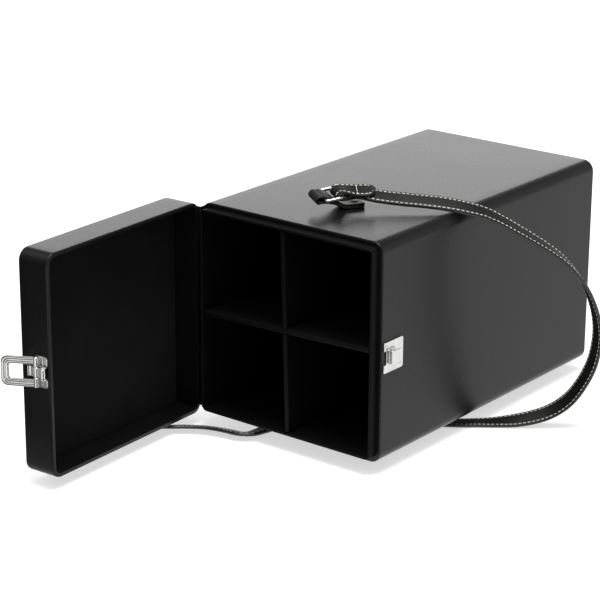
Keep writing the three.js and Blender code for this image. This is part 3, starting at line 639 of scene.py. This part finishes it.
def add_strap():
    tip_steps = [TIP_ROUND * (1 - math.cos(math.pi / 2 * k / 8)) for k in range(8)]
    count = round((STRAP_TOTAL - 2 * TIP_ROUND) / STRAP_STEP)
    inner = [TIP_ROUND + (STRAP_TOTAL - 2 * TIP_ROUND) * k / count for k in range(count + 1)]
    distances = tip_steps + inner + [STRAP_TOTAL - d for d in reversed(tip_steps)]
    outline = strap_outline()
    rings = []
    for distance in distances:
        at, _, across, up = STATION(distance)
        width = tip_width(distance) * STRAP_WIDTH / 2
        rings.append([at + across * (a * width) + up * (b * STRAP_THICKNESS / 2) for a, b in outline])
    sides = len(outline)
    edge_sides = {0, 1, sides - 1, sides - 2}
    middle = len(EDGE_SHARES) * 2 - 2
    edge_sides |= {middle, middle - 1, middle - 2, middle + 1}
    strap = add_piece("strap_band", skin(rings), "body", [STRAP, EDGE], ["strap"], smooth=60)
    for face in strap.data.polygons:
        if face.index < (len(rings) - 1) * sides and face.index % sides in edge_sides:
            face.material_index = 1
    return strap, [STATION(d)[0] * MM for d in distances]


def thread_ring(centre, across, up, size):
    turns = [math.pi / 3 * k for k in range(6)]
    return [centre + across * (math.cos(turn) * STITCH_RADIUS * size)
            + up * (math.sin(turn) * STITCH_RADIUS * size * STITCH_FLATNESS_SHARE) for turn in turns]


def stitch(distance, side, face):
    """One stitch: a short thread that dips into its holes at both ends."""
    rings = []
    for share, size, rise in LONG_STITCH_SHARES:
        at, _, across, up = STATION(distance + (share - 0.5) * STITCH_LENGTH)
        lift = face * (STRAP_THICKNESS / 2 - STITCH_SINK + rise * STITCH_RADIUS)
        rings.append(thread_ring(at + across * side + up * lift, across, up, size))
    return skin(rings)


def cross_stitch(distance, side, face):
    """A stitch of the row that closes the fold, across the strap."""
    at, along, across, up = STATION(distance)
    rings = []
    for share, size, rise in SHORT_STITCH_SHARES:
        lift = face * (STRAP_THICKNESS / 2 + rise * STITCH_RADIUS)
        centre = at + across * (side + (share - 0.5) * STITCH_LENGTH * CROSS_STITCH_SHARE) + up * lift
        rings.append(thread_ring(centre, along, up, size))
    return skin(rings)


def tip_stitch(angle, at_start):
    """A stitch of the arc round a tip."""
    radius = STRAP_WIDTH / 2 * STITCH_PLACE_SHARE
    centre_distance = TIP_ROUND if at_start else STRAP_TOTAL - TIP_ROUND
    at, along, across, up = STATION(centre_distance)
    ahead = -along if at_start else along
    face = 1 if at_start else -1
    rings = []
    spread = STITCH_LENGTH / radius
    for share, size, rise in SHORT_STITCH_SHARES:
        turn = angle + (share - 0.5) * spread
        outward = across * math.sin(turn) + ahead * math.cos(turn)
        lift = face * (STRAP_THICKNESS / 2 - STITCH_SINK + rise * STITCH_RADIUS)
        rings.append(thread_ring(at + outward * radius + up * lift, outward, up, size))
    return skin(rings)


def add_stitches():
    side = STRAP_WIDTH / 2 * STITCH_PLACE_SHARE
    shapes = []
    count = int((STRAP_TOTAL - 2 * TIP_ROUND) / STITCH_PITCH)
    for index in range(count + 1):
        distance = TIP_ROUND + (STRAP_TOTAL - 2 * TIP_ROUND) * index / count
        for edge in (-side, side):
            for face in (-1, 1):
                shapes.append(stitch(distance, edge, face))
    for at_start in (True, False):
        for turn in (-60, -20, 20, 60):
            shapes.append(tip_stitch(math.radians(turn), at_start))
    for index in range(4):
        shapes.append(cross_stitch(FOLD_SEAM, side * (index - 1.5) / 2, 1))
    return add_piece("strap_stitches", merged(*shapes), "body", [THREAD], smooth=70)


strap, strap_path = add_strap()
stitches = add_stitches()


# Skins of the body and the lid, drawn as rings round the box

def box_ring(inset, y, radius=None, corner_steps=6, side_steps=20):
    radius = max(CORNER_RADIUS - inset, RIM_CORNER) if radius is None else radius
    x = HALF - inset - radius
    z = MIDDLE - inset - radius
    corners = [(x, z, 0), (-x, z, 90), (-x, -z, 180), (x, -z, 270)]
    points = []
    for index, (cx, cz, start) in enumerate(corners):
        turned = arc((cx, cz), radius, start, start + 90, corner_steps)
        nx, nz, following = corners[(index + 1) % 4]
        first = arc((nx, nz), radius, following, following + 90, 1)[0]
        last = turned[-1]
        run = [(last[0] + (first[0] - last[0]) * k / side_steps,
                last[1] + (first[1] - last[1]) * k / side_steps) for k in range(1, side_steps)]
        points.extend(turned + run)
    return [Vector((px, y, MIDDLE + pz)) for px, pz in points]


def edge_turn(at, sign, steps=4):
    """Insets and planes of a rounded edge, from the end face to the side."""
    turns = [math.pi / 2 * k / steps for k in range(steps + 1)]
    return [(EDGE_RADIUS - EDGE_RADIUS * math.sin(turn), at + sign * EDGE_RADIUS * (1 - math.cos(turn)))
            for turn in turns]


def add_body_skin():
    front = edge_turn(MOUTH, 1)
    back = edge_turn(BASE, -1)
    rows = 30
    start, end = MOUTH + EDGE_RADIUS, BASE - EDGE_RADIUS
    rings = [box_ring(RIM_INSET, MOUTH + COVER), box_ring(RIM_INSET, MOUTH)]
    rings += [box_ring(inset, y) for inset, y in front]
    rings += [box_ring(0, start + (end - start) * k / rows) for k in range(1, rows)]
    rings += [box_ring(inset, y) for inset, y in reversed(back)]
    rings += [box_ring(HEM, BASE, CORNER_RADIUS), box_ring(HEM, BASE - COVER, CORNER_RADIUS)]
    rings += [box_ring(COVER, BASE - COVER), box_ring(COVER, MOUTH + COVER)]
    shape = ripple(skin(rings, is_loop=True), seed=1.7)
    add_piece("body_skin", shape, "body", [LEATHER], ["body_cover"])


def add_base_panel():
    inset = HEM + GLUE
    outline = rounded(WIDTH - 2 * inset, HEIGHT - 2 * inset, CORNER_RADIUS)
    matrix = Matrix(((1, 0, 0, 0), (0, 0, 1, BASE - COVER), (0, 1, 0, MIDDLE), (0, 0, 0, 1)))
    shape = softened_shape(prism(outline, COVER), PANEL_EDGE)
    add_piece("base_panel_skin", shape, "body", [LEATHER], ["base_panel"], matrix)


HINGE = Vector(JOINTS["lid_hinge"]["pos_m"]) / MM
LID_PLACE = (Matrix.Translation((HINGE.x, HINGE.y, 0)) @ Matrix.Rotation(math.radians(-LID_OPEN), 4, "Z")
             @ Matrix.Translation((-HINGE.x, -HINGE.y, 0)))
LID_RIM = MOUTH - RIM_GAP
LID_FACE = LID_RIM - LID_DEPTH


def add_lid_skin():
    insets = [2, 5, 10, 18, 30, 45, 60, 78, HALF - RIM_CORNER - 1]
    face = [box_ring(inset, LID_FACE) for inset in reversed(insets)]
    turn_front = edge_turn(LID_FACE, 1)[1:]
    turn_rim = edge_turn(LID_RIM, -1)
    rings = list(face)
    rings += [box_ring(inset, y) for inset, y in turn_front]
    wall = LID_DEPTH - 2 * EDGE_RADIUS
    rings += [box_ring(0, LID_FACE + EDGE_RADIUS + wall * k / 4) for k in range(1, 4)]
    rings += [box_ring(inset, y) for inset, y in reversed(turn_rim)]
    rings += [box_ring(LID_RIM_INSET, LID_RIM), box_ring(LID_RIM_INSET, LID_RIM - COVER)]
    rings += [box_ring(COVER, LID_RIM - COVER), box_ring(COVER, LID_FACE + COVER)]
    rings += [box_ring(inset, LID_FACE + COVER) for inset in insets]
    shape = ripple(skin(rings), seed=4.1)
    add_piece("lid_skin", shape, "lid", [LEATHER], ["lid_cover"], LID_PLACE)


def add_hinge():
    """The leather hinge: one strip over both walls, turned round the hinge line."""
    half = HINGE_THICKNESS / 2
    low, high = node_box("hinge_leaf_body")
    leaf_x = (low.x + high.x) / 2
    width = high.y - MOUTH
    swing = Matrix.Rotation(math.radians(-LID_OPEN), 2)

    def on_lid(beyond):
        x, y = swing @ Vector((leaf_x - HINGE.x, -beyond))
        return HINGE.x + x, HINGE.y + y

    path = [(leaf_x, high.y + (HINGE.y - high.y) * k / 6) for k in range(6)]
    path += arc((HINGE.x, HINGE.y), leaf_x - HINGE.x, 0, -LID_OPEN, 8)
    path += [on_lid(width * k / 6) for k in range(1, 7)]
    rings = []
    rows = 12
    levels = [low.z + (high.z - low.z) * k / rows for k in range(rows + 1)]
    for x, y, right in walk(path):
        out = right * -half
        ring = [Vector((x + out.x, y + out.y, z)) for z in levels]
        ring += [Vector((x - out.x, y - out.y, z)) for z in reversed(levels)]
        rings.append(ring)
    shape = softened_shape(skin(rings), HINGE_EDGE, 2, 50)
    strip = add_piece("hinge_strip", shape, None, [LEATHER],
                      ["hinge_leaf_body", "hinge_leaf_lid"], smooth=50)
    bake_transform(strip)


def round_neck(work):
    """Cuts the neck's outer corners to a rounding, in three planes at each corner."""
    inset = HEIGHT - node_box("top_liner")[1].z
    for side_x in (-1, 1):
        for side_z in (-1, 1):
            centre = Vector((side_x * (HALF - inset - NECK_CORNER), 0,
                             MIDDLE + side_z * (MIDDLE - inset - NECK_CORNER)))
            for degrees in (15, 45, 75):
                turn = math.radians(degrees)
                out = Vector((side_x * math.cos(turn), 0, side_z * math.sin(turn)))
                cut = bmesh.ops.bisect_plane(work, geom=work.verts[:] + work.edges[:] + work.faces[:],
                                             plane_co=(centre + out * NECK_CORNER) * MM, plane_no=out,
                                             clear_outer=True)
                rim = [part for part in cut["geom_cut"] if isinstance(part, bmesh.types.BMEdge)]
                if rim:
                    bmesh.ops.holes_fill(work, edges=rim, sides=0)


def softened_node(name, node, body, finish, width, has_neck=False):
    """A node's own shape with every edge rounded."""
    mesh = frame["nodes"][node].data
    work = bmesh.new()
    work.from_mesh(mesh)
    bmesh.ops.remove_doubles(work, verts=work.verts, dist=0.001 * MM)
    bmesh.ops.dissolve_limit(work, angle_limit=math.radians(1), verts=work.verts, edges=work.edges)
    if has_neck:
        round_neck(work)
    add_piece(name, softened_shape(from_bmesh(work, MM), width), body, [finish], [node])


def add_interior():
    for side in ("top", "under", "hinge", "clasp"):
        softened_node(f"{side}_liner_wrap", f"{side}_liner", "body", INNER_LEATHER_AND_SHADE, LINER_EDGE,
                      has_neck=True)
        softened_node(f"lid_{side}_wrap", f"lid_{side}_wall", "lid", INNER_LEATHER_AND_SHADE,
                      LID_WALL_EDGE)
    for way in ("upright", "level"):
        softened_node(f"divider_{way}_wrap", f"divider_{way}", "body", INNER_LEATHER_AND_SHADE,
                      DIVIDER_EDGE)
    softened_node("base_lining_cloth", "base_lining", "body", LINING, CLOTH_EDGE)
    softened_node("lid_lining_cloth", "lid_lining", "lid", LINING, CLOTH_EDGE)


add_body_skin()
add_base_panel()
add_lid_skin()
add_hinge()
add_interior()


# Strap anchors

def smooth_step(value, low, high):
    share = min(max((value - low) / (high - low), 0), 1)
    return share * share * (3 - 2 * share)


def tab_middle(x, anchor):
    """The height of a tab's middle: flat by its rivet, rising to the ring's bar."""
    flat = SEAT_GAP + TAB_PLY
    return flat + (anchor["lift"] - flat) * smooth_step(x, TAB_BEND_START, TAB_REACH - anchor["slack"])


def tab_path(anchor):
    """The tab's line in X and Z: the lower ply, the turn at its end, the upper ply."""
    eye = RING_WIRE + SEAT_GAP + TAB_PLY / 2
    last = TAB_REACH - (eye + TAB_PLY / 2) / 2
    flare = last - anchor["slack"]
    closed = TAB_PLY / 2 + PLY_SEAM

    def apart(x):
        return closed + (eye * math.sin(math.radians(60)) - closed) * smooth_step(x, flare - TAB_FLARE, flare)

    xs = [-TAB_TAIL + (last + TAB_TAIL) * k / 20 for k in range(20)]
    lower = [(x, tab_middle(x, anchor) - apart(x)) for x in xs]
    upper = [(x, tab_middle(x, anchor) + apart(x)) for x in reversed(xs)]
    return lower + arc((TAB_REACH, anchor["lift"]), eye, -120, 120, 20) + upper


def twisted(shape, anchor):
    """Turns a tab's points about its middle, more towards its ring."""
    points = []
    for x, y, z in shape[0]:
        middle = tab_middle(x, anchor)
        share = smooth_step(x, TAB_BEND_START, TAB_REACH - anchor["slack"])
        angle = math.radians(anchor["twist"]) * share
        points.append(Vector((x, y * math.cos(angle) + (z - middle) * math.sin(angle),
                              middle + (z - middle) * math.cos(angle) - y * math.sin(angle))))
    return points, shape[1]


def band_along(path, width, thickness, edge):
    """A flat band with round edges, swept along a path in X and Z and centred on Y."""
    section = rounded(width, thickness, edge, 4)
    return skin([[Vector((x - right.x * b, a, z - right.y * b)) for a, b in section]
                 for x, z, right in walk(path)])


def ring_shape():
    half = RING_INNER_WIDTH / 2 + RING_WIRE
    path = arc((RING_BAR_CORNER, -half + RING_BAR_CORNER), RING_BAR_CORNER, 180, 270, 10)
    path += arc((RING_LENGTH - RING_BOW, -half + RING_BOW), RING_BOW, -90, 0, 10)
    path += arc((RING_LENGTH - RING_BOW, half - RING_BOW), RING_BOW, 0, 90, 10)
    path += arc((RING_BAR_CORNER, half - RING_BAR_CORNER), RING_BAR_CORNER, 90, 180, 10)
    sides = 20
    turns = [2 * math.pi * k / sides for k in range(sides)]
    rings = [[Vector((x + out.x * math.cos(t) * RING_WIRE, y + out.y * math.cos(t) * RING_WIRE,
                      math.sin(t) * RING_WIRE)) for t in turns] for x, y, out in walk(path, is_loop=True)]
    return skin(rings, is_loop=True)


def rivet_shape():
    head = SEAT_GAP + 2 * TAB_PLY + GLUE
    end = COVER - RIM_INSET
    shank = [(AXIS_ROOM, end), (RIVET_FLANGE, end), (RIVET_FLANGE, end + RIVET_FLANGE_THICKNESS),
             (RIVET_SHANK, end + RIVET_FLANGE_THICKNESS), (RIVET_SHANK, head)]
    rim = [(RIVET_HEAD - RIVET_CHAMFER, head), (RIVET_HEAD, head + RIVET_CHAMFER)]
    turns = [math.radians(k * 10) for k in range(1, 9)]
    dome = [(RIVET_HEAD * math.cos(turn), head + RIVET_LIP + (RIVET_RISE - RIVET_LIP) * math.sin(turn))
            for turn in turns]
    return lathe(shank + rim + dome + [(AXIS_ROOM, head + RIVET_RISE)])


def add_anchor(name, anchor):
    matrix = anchor["frame"]
    tab = twisted(band_along(tab_path(anchor), TAB_WIDTH, TAB_PLY - PLY_ROOM, TAB_EDGE), anchor)
    add_piece(f"{name}_leather", tab, "body", [STRAP, EDGE], [f"{name}_tab"], matrix, 50,
              pick=lambda face: 1 if abs((matrix.to_3x3().inverted() @ face.normal).y) > 0.6 else 0)
    add_piece(f"{name}_dome", rivet_shape(), "body", [BLACK_METAL], [f"{name}_rivet"], matrix)
    add_chrome(f"{name}_loop", ring_shape(), "body", f"{name}_ring", ring_frame(anchor), 60)


add_anchor("top_anchor", TOP_ANCHOR)
add_anchor("under_anchor", UNDER_ANCHOR)


# Clasp and catch, drawn with the lid closed: X away from the wall, Y along it, Z up
CLASP_HEIGHT = (node_box("catch_plate")[0].z + node_box("catch_plate")[1].z) / 2
PLATE_HEIGHT = 26.5
PLATE_THICKNESS = 1.1
PLATE_SETBACK = 1.8
BASE_PLATE_LENGTH = 12.5
CATCH_LENGTH = 26.5
PLATE_CORNER = 2
PLATE_EDGE = 0.25
NOTCH_HEIGHT = 12
NOTCH_DEPTH = 3.6
BEAD_RADIUS = 0.7
BEAD_SINK = 0.3
PLATE_RIVET_INSET = 3.6
PLATE_RIVET_SHANK = 1
PLATE_RIVET_LENGTH = 2.4
PLATE_RIVET_SEAT = 0.05
PLATE_RIVET_HEAD = 1.35
PLATE_RIVET_DOME = 0.35
HOOK_EDGE = 0.3
HOOK_WIDTH = 11.6
HOOK_START = 8
HOOK_END = 22
HOOK_GAP = 3
HOOK_CORNER = 2.5
PIN_RADIUS = 1.1
PIN_HOLE = 1.25
PIN_EDGE = 0.4
PIN_OVERHANG = 0.3
BARREL = 2.1
BARREL_SEAT = 0.2
BASE_PIN_SETBACK = 4.4
LEVER_ARM = 7
LEVER_WIDTH = 8.4
LEVER_THICKNESS = 1.2
LEVER_EDGE = 0.35
LEVER_HANDLE = 9
LEVER_START_SHARE = 0.4
LEVER_CURL_LENGTH = 4
LEVER_CURL_RADIUS = 2.6
EAR = 1.2
EAR_EDGE = 0.2
SIDE_ROOM = 0.3
LOOP_REACH = 29
LOOP_HEIGHT = 25.8
LOOP_BAND = 6.7
LOOP_THICKNESS = 2.4
LOOP_CORNER = 6
WINDOW_CORNER = 2
LOOP_ARM_PLACES = (0, 8, 16)
RIDGE_HALF_SHARE = 0.25
LOOP_SWING = 153
PIN_X = HALF + GLUE + PLATE_THICKNESS + BARREL_SEAT + BARREL
BASE_PIN_Y = LID_RIM - BASE_PIN_SETBACK
LOOP_PIN_Y = BASE_PIN_Y - LEVER_ARM


def plate_shape(length):
    z, r, n = PLATE_HEIGHT / 2, PLATE_CORNER, NOTCH_HEIGHT / 2
    outline = arc((length - r, -z + r), r, -90, 0, 6) + arc((length - r, z - r), r, 0, 90, 6)
    outline += arc((r, z - r), r, 90, 180, 6)
    outline += [(0, n), (NOTCH_DEPTH, n), (NOTCH_DEPTH, -n), (0, -n)]
    outline += arc((r, -z + r), r, 180, 270, 6)
    plate = softened_shape(prism(outline, PLATE_THICKNESS, ACROSS_X), PLATE_EDGE, sharp=25)
    bead_length = (PLATE_HEIGHT - NOTCH_HEIGHT) / 2 - PLATE_CORNER
    bead = rod_shape(BEAD_RADIUS, bead_length, PLATE_EDGE)
    place = NOTCH_HEIGHT / 2 + bead_length / 2
    beads = [moved(bead, PLATE_THICKNESS - BEAD_SINK, BEAD_RADIUS, side * place) for side in (-1, 1)]
    return merged(plate, *beads)


def rod_shape(radius, length, edge, sides=28):
    half = length / 2
    ends = [(radius - edge + edge * math.sin(math.radians(t)), half - edge + edge * math.cos(math.radians(t)))
            for t in (0, 30, 60, 90)]
    profile = [(r, -z) for r, z in ends] + [(r, z) for r, z in reversed(ends)]
    return lathe([(AXIS_ROOM, -half)] + profile + [(AXIS_ROOM, half)], sides)


def eye_shape(outer, inner, length, edge=0.2, sides=28):
    half = length / 2
    profile = [(inner, -half), (outer - edge, -half), (outer, -half + edge), (outer, half - edge),
               (outer - edge, half), (inner, half)]
    return lathe(profile, sides, is_loop=True)


def hook_shape():
    """The catch's tongue: a half turn up from the plate and a leg back over it."""
    inner = HOOK_GAP / 2
    middle = inner + PLATE_THICKNESS / 2
    outer = inner + PLATE_THICKNESS
    bend = HOOK_START + outer
    path = [(PLATE_THICKNESS / 2, bend + 2 * (3 - k) / 3) for k in range(3)]
    path += arc((outer, bend), middle, 180, 360, 20)
    leg = HOOK_END - bend
    tip = [leg - HOOK_CORNER * (1 - math.sin(math.radians(a))) for a in (0, 15, 30, 45, 60, 75, 90)]
    path += [(outer + middle, bend + y) for y in [leg * 0.3, leg * 0.6] + tip]
    rings = []
    for x, y, up in walk(path):
        near = max(y - (HOOK_END - HOOK_CORNER), 0) if x > outer else 0
        half = HOOK_WIDTH / 2 - HOOK_CORNER + math.sqrt(max(HOOK_CORNER ** 2 - near ** 2, 0))
        section = rounded(2 * half, PLATE_THICKNESS, HOOK_EDGE, 3)
        rings.append([Vector((x + up.x * b, y + up.y * b, a)) for a, b in section])
    return skin(rings)


def plate_rivet(y, z):
    """A flush rivet with a low dome."""
    profile = [(AXIS_ROOM, -PLATE_RIVET_LENGTH), (PLATE_RIVET_SHANK, -PLATE_RIVET_LENGTH),
               (PLATE_RIVET_SHANK, PLATE_RIVET_SEAT)]
    for turn in map(math.radians, range(0, 90, 15)):
        profile.append((PLATE_RIVET_HEAD * math.cos(turn),
                        PLATE_RIVET_SEAT + PLATE_RIVET_DOME * math.sin(turn)))
    dome = lathe(profile + [(AXIS_ROOM, PLATE_RIVET_SEAT + PLATE_RIVET_DOME)], 24)
    upright = Matrix.Rotation(math.pi / 2, 4, "Y")
    return moved(placed(dome, upright), HALF + GLUE + PLATE_THICKNESS, y, z)


def add_plate_rivets(name, body, first, last, matrix=None):
    z = PLATE_HEIGHT / 2 - PLATE_RIVET_INSET
    for index, (y, level) in enumerate([(first, CLASP_HEIGHT + z), (last, CLASP_HEIGHT - z)]):
        node = f"{name}_{index + 1}"
        add_chrome(f"{node}_head", plate_rivet(y, level), body, node, matrix, 50)


def add_catch():
    front = MOUTH + PLATE_SETBACK
    plate = moved(plate_shape(CATCH_LENGTH), HALF + GLUE, front, CLASP_HEIGHT)
    hook = moved(hook_shape(), HALF + GLUE, MOUTH, CLASP_HEIGHT)
    add_chrome("catch", merged(plate, hook), "body", "catch_plate")
    add_plate_rivets("catch_rivet", "body", front + PLATE_RIVET_INSET,
                     front + CATCH_LENGTH - PLATE_RIVET_INSET)


def add_clasp_base():
    flip = Matrix.Rotation(math.pi, 4, "X")
    plate = moved(placed(plate_shape(BASE_PLATE_LENGTH), flip),
                  HALF + GLUE, LID_RIM - PLATE_SETBACK, CLASP_HEIGHT)
    foot = PIN_X - HALF - GLUE
    outline = arc((0, 0), BARREL, -90, 90, 12) + [(-foot, BARREL), (-foot, -BARREL)]
    shapes = [plate]
    inner = LEVER_WIDTH / 2 + SIDE_ROOM
    for z in (-inner - EAR, inner):
        ear = softened_shape(prism(outline, EAR), EAR_EDGE, 2)
        shapes.append(moved(ear, PIN_X, BASE_PIN_Y, CLASP_HEIGHT + z))
    add_chrome("clasp_base_plate", merged(*shapes), "lid", "clasp_base", LID_PLACE)
    pin = moved(rod_shape(PIN_RADIUS, 2 * (inner + EAR + PIN_OVERHANG), PIN_EDGE),
                PIN_X, BASE_PIN_Y, CLASP_HEIGHT)
    add_chrome("clasp_base_axle", pin, "lid", "clasp_base_pin", LID_PLACE)
    middle = LID_RIM - PLATE_SETBACK - BASE_PLATE_LENGTH + PLATE_RIVET_INSET / 2
    add_plate_rivets("clasp_rivet", "lid", middle, middle, LID_PLACE)


def add_lever():
    """The lever: a leaf between two barrels, with its handle's end curled outward."""
    curl_start = LOOP_PIN_Y - LEVER_HANDLE + LEVER_CURL_LENGTH
    path = [(0, BASE_PIN_Y - BARREL * LEVER_START_SHARE), (0, LOOP_PIN_Y), (0, curl_start)]
    path += arc((LEVER_CURL_RADIUS, curl_start), LEVER_CURL_RADIUS, 180, 250, 8)[1:]
    section = rounded(LEVER_WIDTH, LEVER_THICKNESS, LEVER_EDGE, 3)
    leaf = skin([[Vector((PIN_X + x + up.x * b, y + up.y * b, CLASP_HEIGHT + a)) for a, b in section]
                 for x, y, up in walk(path)])
    barrels = [moved(eye_shape(BARREL, PIN_HOLE, LEVER_WIDTH), PIN_X, y, CLASP_HEIGHT)
               for y in (BASE_PIN_Y, LOOP_PIN_Y)]
    add_chrome("clasp_lever_leaf", merged(leaf, *barrels), "lever", "clasp_lever", LID_PLACE)
    pin = moved(rod_shape(PIN_RADIUS, LOOP_HEIGHT, PIN_EDGE), PIN_X, LOOP_PIN_Y, CLASP_HEIGHT)
    add_chrome("clasp_loop_axle", pin, "loop_pin", "clasp_loop_pin", LID_PLACE)


def loop_shape():
    """The loop's frame: two round ridges with a groove between, run round three sides of its window."""
    half = LOOP_HEIGHT / 2
    inner = half - LOOP_BAND
    steps = 10
    outer_line = [(half, y) for y in LOOP_ARM_PLACES]
    inner_line = [(inner, y) for y in LOOP_ARM_PLACES]
    outer_line += arc((half - LOOP_CORNER, LOOP_REACH - LOOP_CORNER), LOOP_CORNER, 0, 90, steps)
    inner_line += arc((inner - WINDOW_CORNER, LOOP_REACH - LOOP_BAND - WINDOW_CORNER), WINDOW_CORNER,
                      0, 90, steps)
    outer_line += [(-x, y) for x, y in reversed(outer_line)]
    inner_line += [(-x, y) for x, y in reversed(inner_line)]
    near, far = RIDGE_HALF_SHARE, 1 - RIDGE_HALF_SHARE
    section = []
    for centre, degrees in ((far, range(0, 151, 15)), (near, range(30, 331, 15)), (far, range(210, 360, 15))):
        section += [(centre + RIDGE_HALF_SHARE * math.cos(turn), LOOP_THICKNESS / 2 * math.sin(turn))
                    for turn in map(math.radians, degrees)]
    rings = []
    for (oz, oy), (iz, iy) in zip(outer_line, inner_line):
        rings.append([Vector((b, iy + (oy - iy) * a, iz + (oz - iz) * a)) for a, b in section])
    eye_length = half - LEVER_WIDTH / 2 - SIDE_ROOM
    eyes = [moved(eye_shape(BARREL, PIN_HOLE, eye_length), z=side * (half - eye_length / 2))
            for side in (-1, 1)]
    return merged(skin(rings), *eyes)


def add_loop():
    pin = Vector(JOINTS["clasp_loop_hinge"]["pos_m"]) / MM
    turn = Matrix.Rotation(math.radians(-LOOP_SWING - LID_OPEN), 4, "Z")
    matrix = Matrix.Translation((pin.x, pin.y, CLASP_HEIGHT)) @ turn
    add_chrome("clasp_loop_frame", loop_shape(), "loop", "clasp_loop", matrix, 35)


add_catch()
add_clasp_base()
add_lever()
add_loop()


# Boards keep their own shapes, in raw fibreboard
for board in ("top_board", "under_board", "hinge_board", "clasp_board", "base_board", "lid_board"):
    mesh = frame["nodes"][board].data
    mesh.materials.clear()
    mesh.materials.append(BOARD_FINISH)


# Floor, background and lights, with lengths in metres
FLOOR_GLOW = 0.6
# Strength of the floor's painted reflection where it is dark; only glossy rays see it
FLOOR_PAINTED_REFLECTION_BASE = 0.02
FLOOR_REACH = 12
WORLD_BASE = 0.1


def add_glow(tree, place, base, parts):
    """A strength by place: the base, and for each part a ramp along an axis, or the product of two."""
    axes = tree.nodes.new("ShaderNodeSeparateXYZ")
    tree.links.new(place, axes.inputs["Vector"])
    total = None
    for ramps in parts:
        glow = add_node(tree, "ShaderNodeMath", operation="MULTIPLY_ADD")
        glow.inputs[1].default_value = 1
        glow.inputs[2].default_value = base
        for index, (axis, values) in enumerate(ramps):
            tree.links.new(add_ramp(tree, axes.outputs[axis], values), glow.inputs[index])
        if total:
            tree.links.new(total, glow.inputs[2])
        total = glow.outputs["Value"]
    return total


def add_floor():
    """A pale floor. In reflections it shows a painted reflection: a glow that only glossy rays see, bright
    behind the box and before the clasp and dark elsewhere in front, which sets how light or dark the box's
    faces look.
    """
    finish, tree, shader = new_finish("floor", (0.8, 0.8, 0.8), 0.9, specular=0.1)
    links = tree.links
    glow = add_node(tree, "ShaderNodeEmission", Color=(1, 1, 1, 1), Strength=FLOOR_GLOW)
    lit = tree.nodes.new("ShaderNodeAddShader")
    links.new(shader.outputs["BSDF"], lit.inputs[0])
    links.new(glow.outputs["Emission"], lit.inputs[1])
    place = tree.nodes.new("ShaderNodeTexCoord")
    # Painted reflection: a glow by place on the floor that only reflections see; it lights nothing
    painted_reflection_glow = add_node(tree, "ShaderNodeEmission", Color=(1, 1, 1, 1))
    behind = [("Y", (-0.47, -0.26, 0, 0.93))]
    before_clasp = [("Y", (-0.5, -0.6, 0, 0.9)), ("X", (-0.34, -0.22, 0, 1))]
    strength = add_glow(tree, place.outputs["Object"], FLOOR_PAINTED_REFLECTION_BASE, [behind, before_clasp])
    links.new(strength, painted_reflection_glow.inputs["Strength"])
    path = tree.nodes.new("ShaderNodeLightPath")
    by_camera = tree.nodes.new("ShaderNodeMixShader")
    by_mirror = tree.nodes.new("ShaderNodeMixShader")
    links.new(path.outputs["Is Camera Ray"], by_camera.inputs["Fac"])
    links.new(shader.outputs["BSDF"], by_camera.inputs[1])
    links.new(lit.outputs["Shader"], by_camera.inputs[2])
    links.new(path.outputs["Is Glossy Ray"], by_mirror.inputs["Fac"])
    links.new(by_camera.outputs["Shader"], by_mirror.inputs[1])
    links.new(painted_reflection_glow.outputs["Emission"], by_mirror.inputs[2])
    links.new(by_mirror.outputs["Shader"], tree.nodes["Material Output"].inputs["Surface"])
    mesh = bpy.data.meshes.new("floor")
    corners = [(-1, -1), (1, -1), (1, 1), (-1, 1)]
    mesh.from_pydata([(x * FLOOR_REACH, y * FLOOR_REACH, FLOOR_HEIGHT * MM) for x, y in corners],
                     [], [(0, 1, 2, 3)])
    mesh.materials.append(finish)
    floor = add_object("floor", mesh)


def add_world():
    """White to the camera; otherwise dim, and brighter low down behind the box and high up before it."""
    world = bpy.data.worlds.new("world")
    world.use_nodes = True
    tree = world.node_tree
    links = tree.links
    dim = tree.nodes["Background"]
    dim.inputs["Color"].default_value = (1, 1, 1, 1)
    place = tree.nodes.new("ShaderNodeTexCoord")
    low_behind = [("Y", (-0.1, 0.3, 0, 1)), ("Z", (0.35, 0.7, 0.45, 0))]
    high_before = [("Y", (0.3, -0.1, 0, 1)), ("Z", (0.45, 0.7, 0, 0.6))]
    strength = add_glow(tree, place.outputs["Generated"], WORLD_BASE, [low_behind, high_before])
    links.new(strength, dim.inputs["Strength"])
    white = add_node(tree, "ShaderNodeBackground", Color=(1, 1, 1, 1), Strength=1.0)
    path = tree.nodes.new("ShaderNodeLightPath")
    mix = tree.nodes.new("ShaderNodeMixShader")
    links.new(path.outputs["Is Camera Ray"], mix.inputs["Fac"])
    links.new(dim.outputs["Background"], mix.inputs[1])
    links.new(white.outputs["Background"], mix.inputs[2])
    links.new(mix.outputs["Shader"], tree.nodes["World Output"].inputs["Surface"])
    bpy.context.scene.world = world


def add_lamp(name, place, target, size, power):
    data = bpy.data.lights.new(name, "AREA")
    data.shape = "RECTANGLE"
    data.size, data.size_y = size
    data.energy = power
    lamp = add_object(name, data)
    lamp.location = place
    lamp.rotation_euler = (Vector(target) - Vector(place)).to_track_quat("-Z", "Y").to_euler()
    lamp.visible_camera = False


add_floor()
add_world()
add_lamp("back_panel", place=(-1.9, 2.3, 0.87), target=(0, 0, 0.19), size=(2.6, 1.2), power=13.5)
add_lamp("overhead", place=(0.3, -0.2, 2.6), target=(0, 0, 0), size=(1.4, 1.4), power=52)

bpy.context.scene.view_settings.view_transform = "Standard"
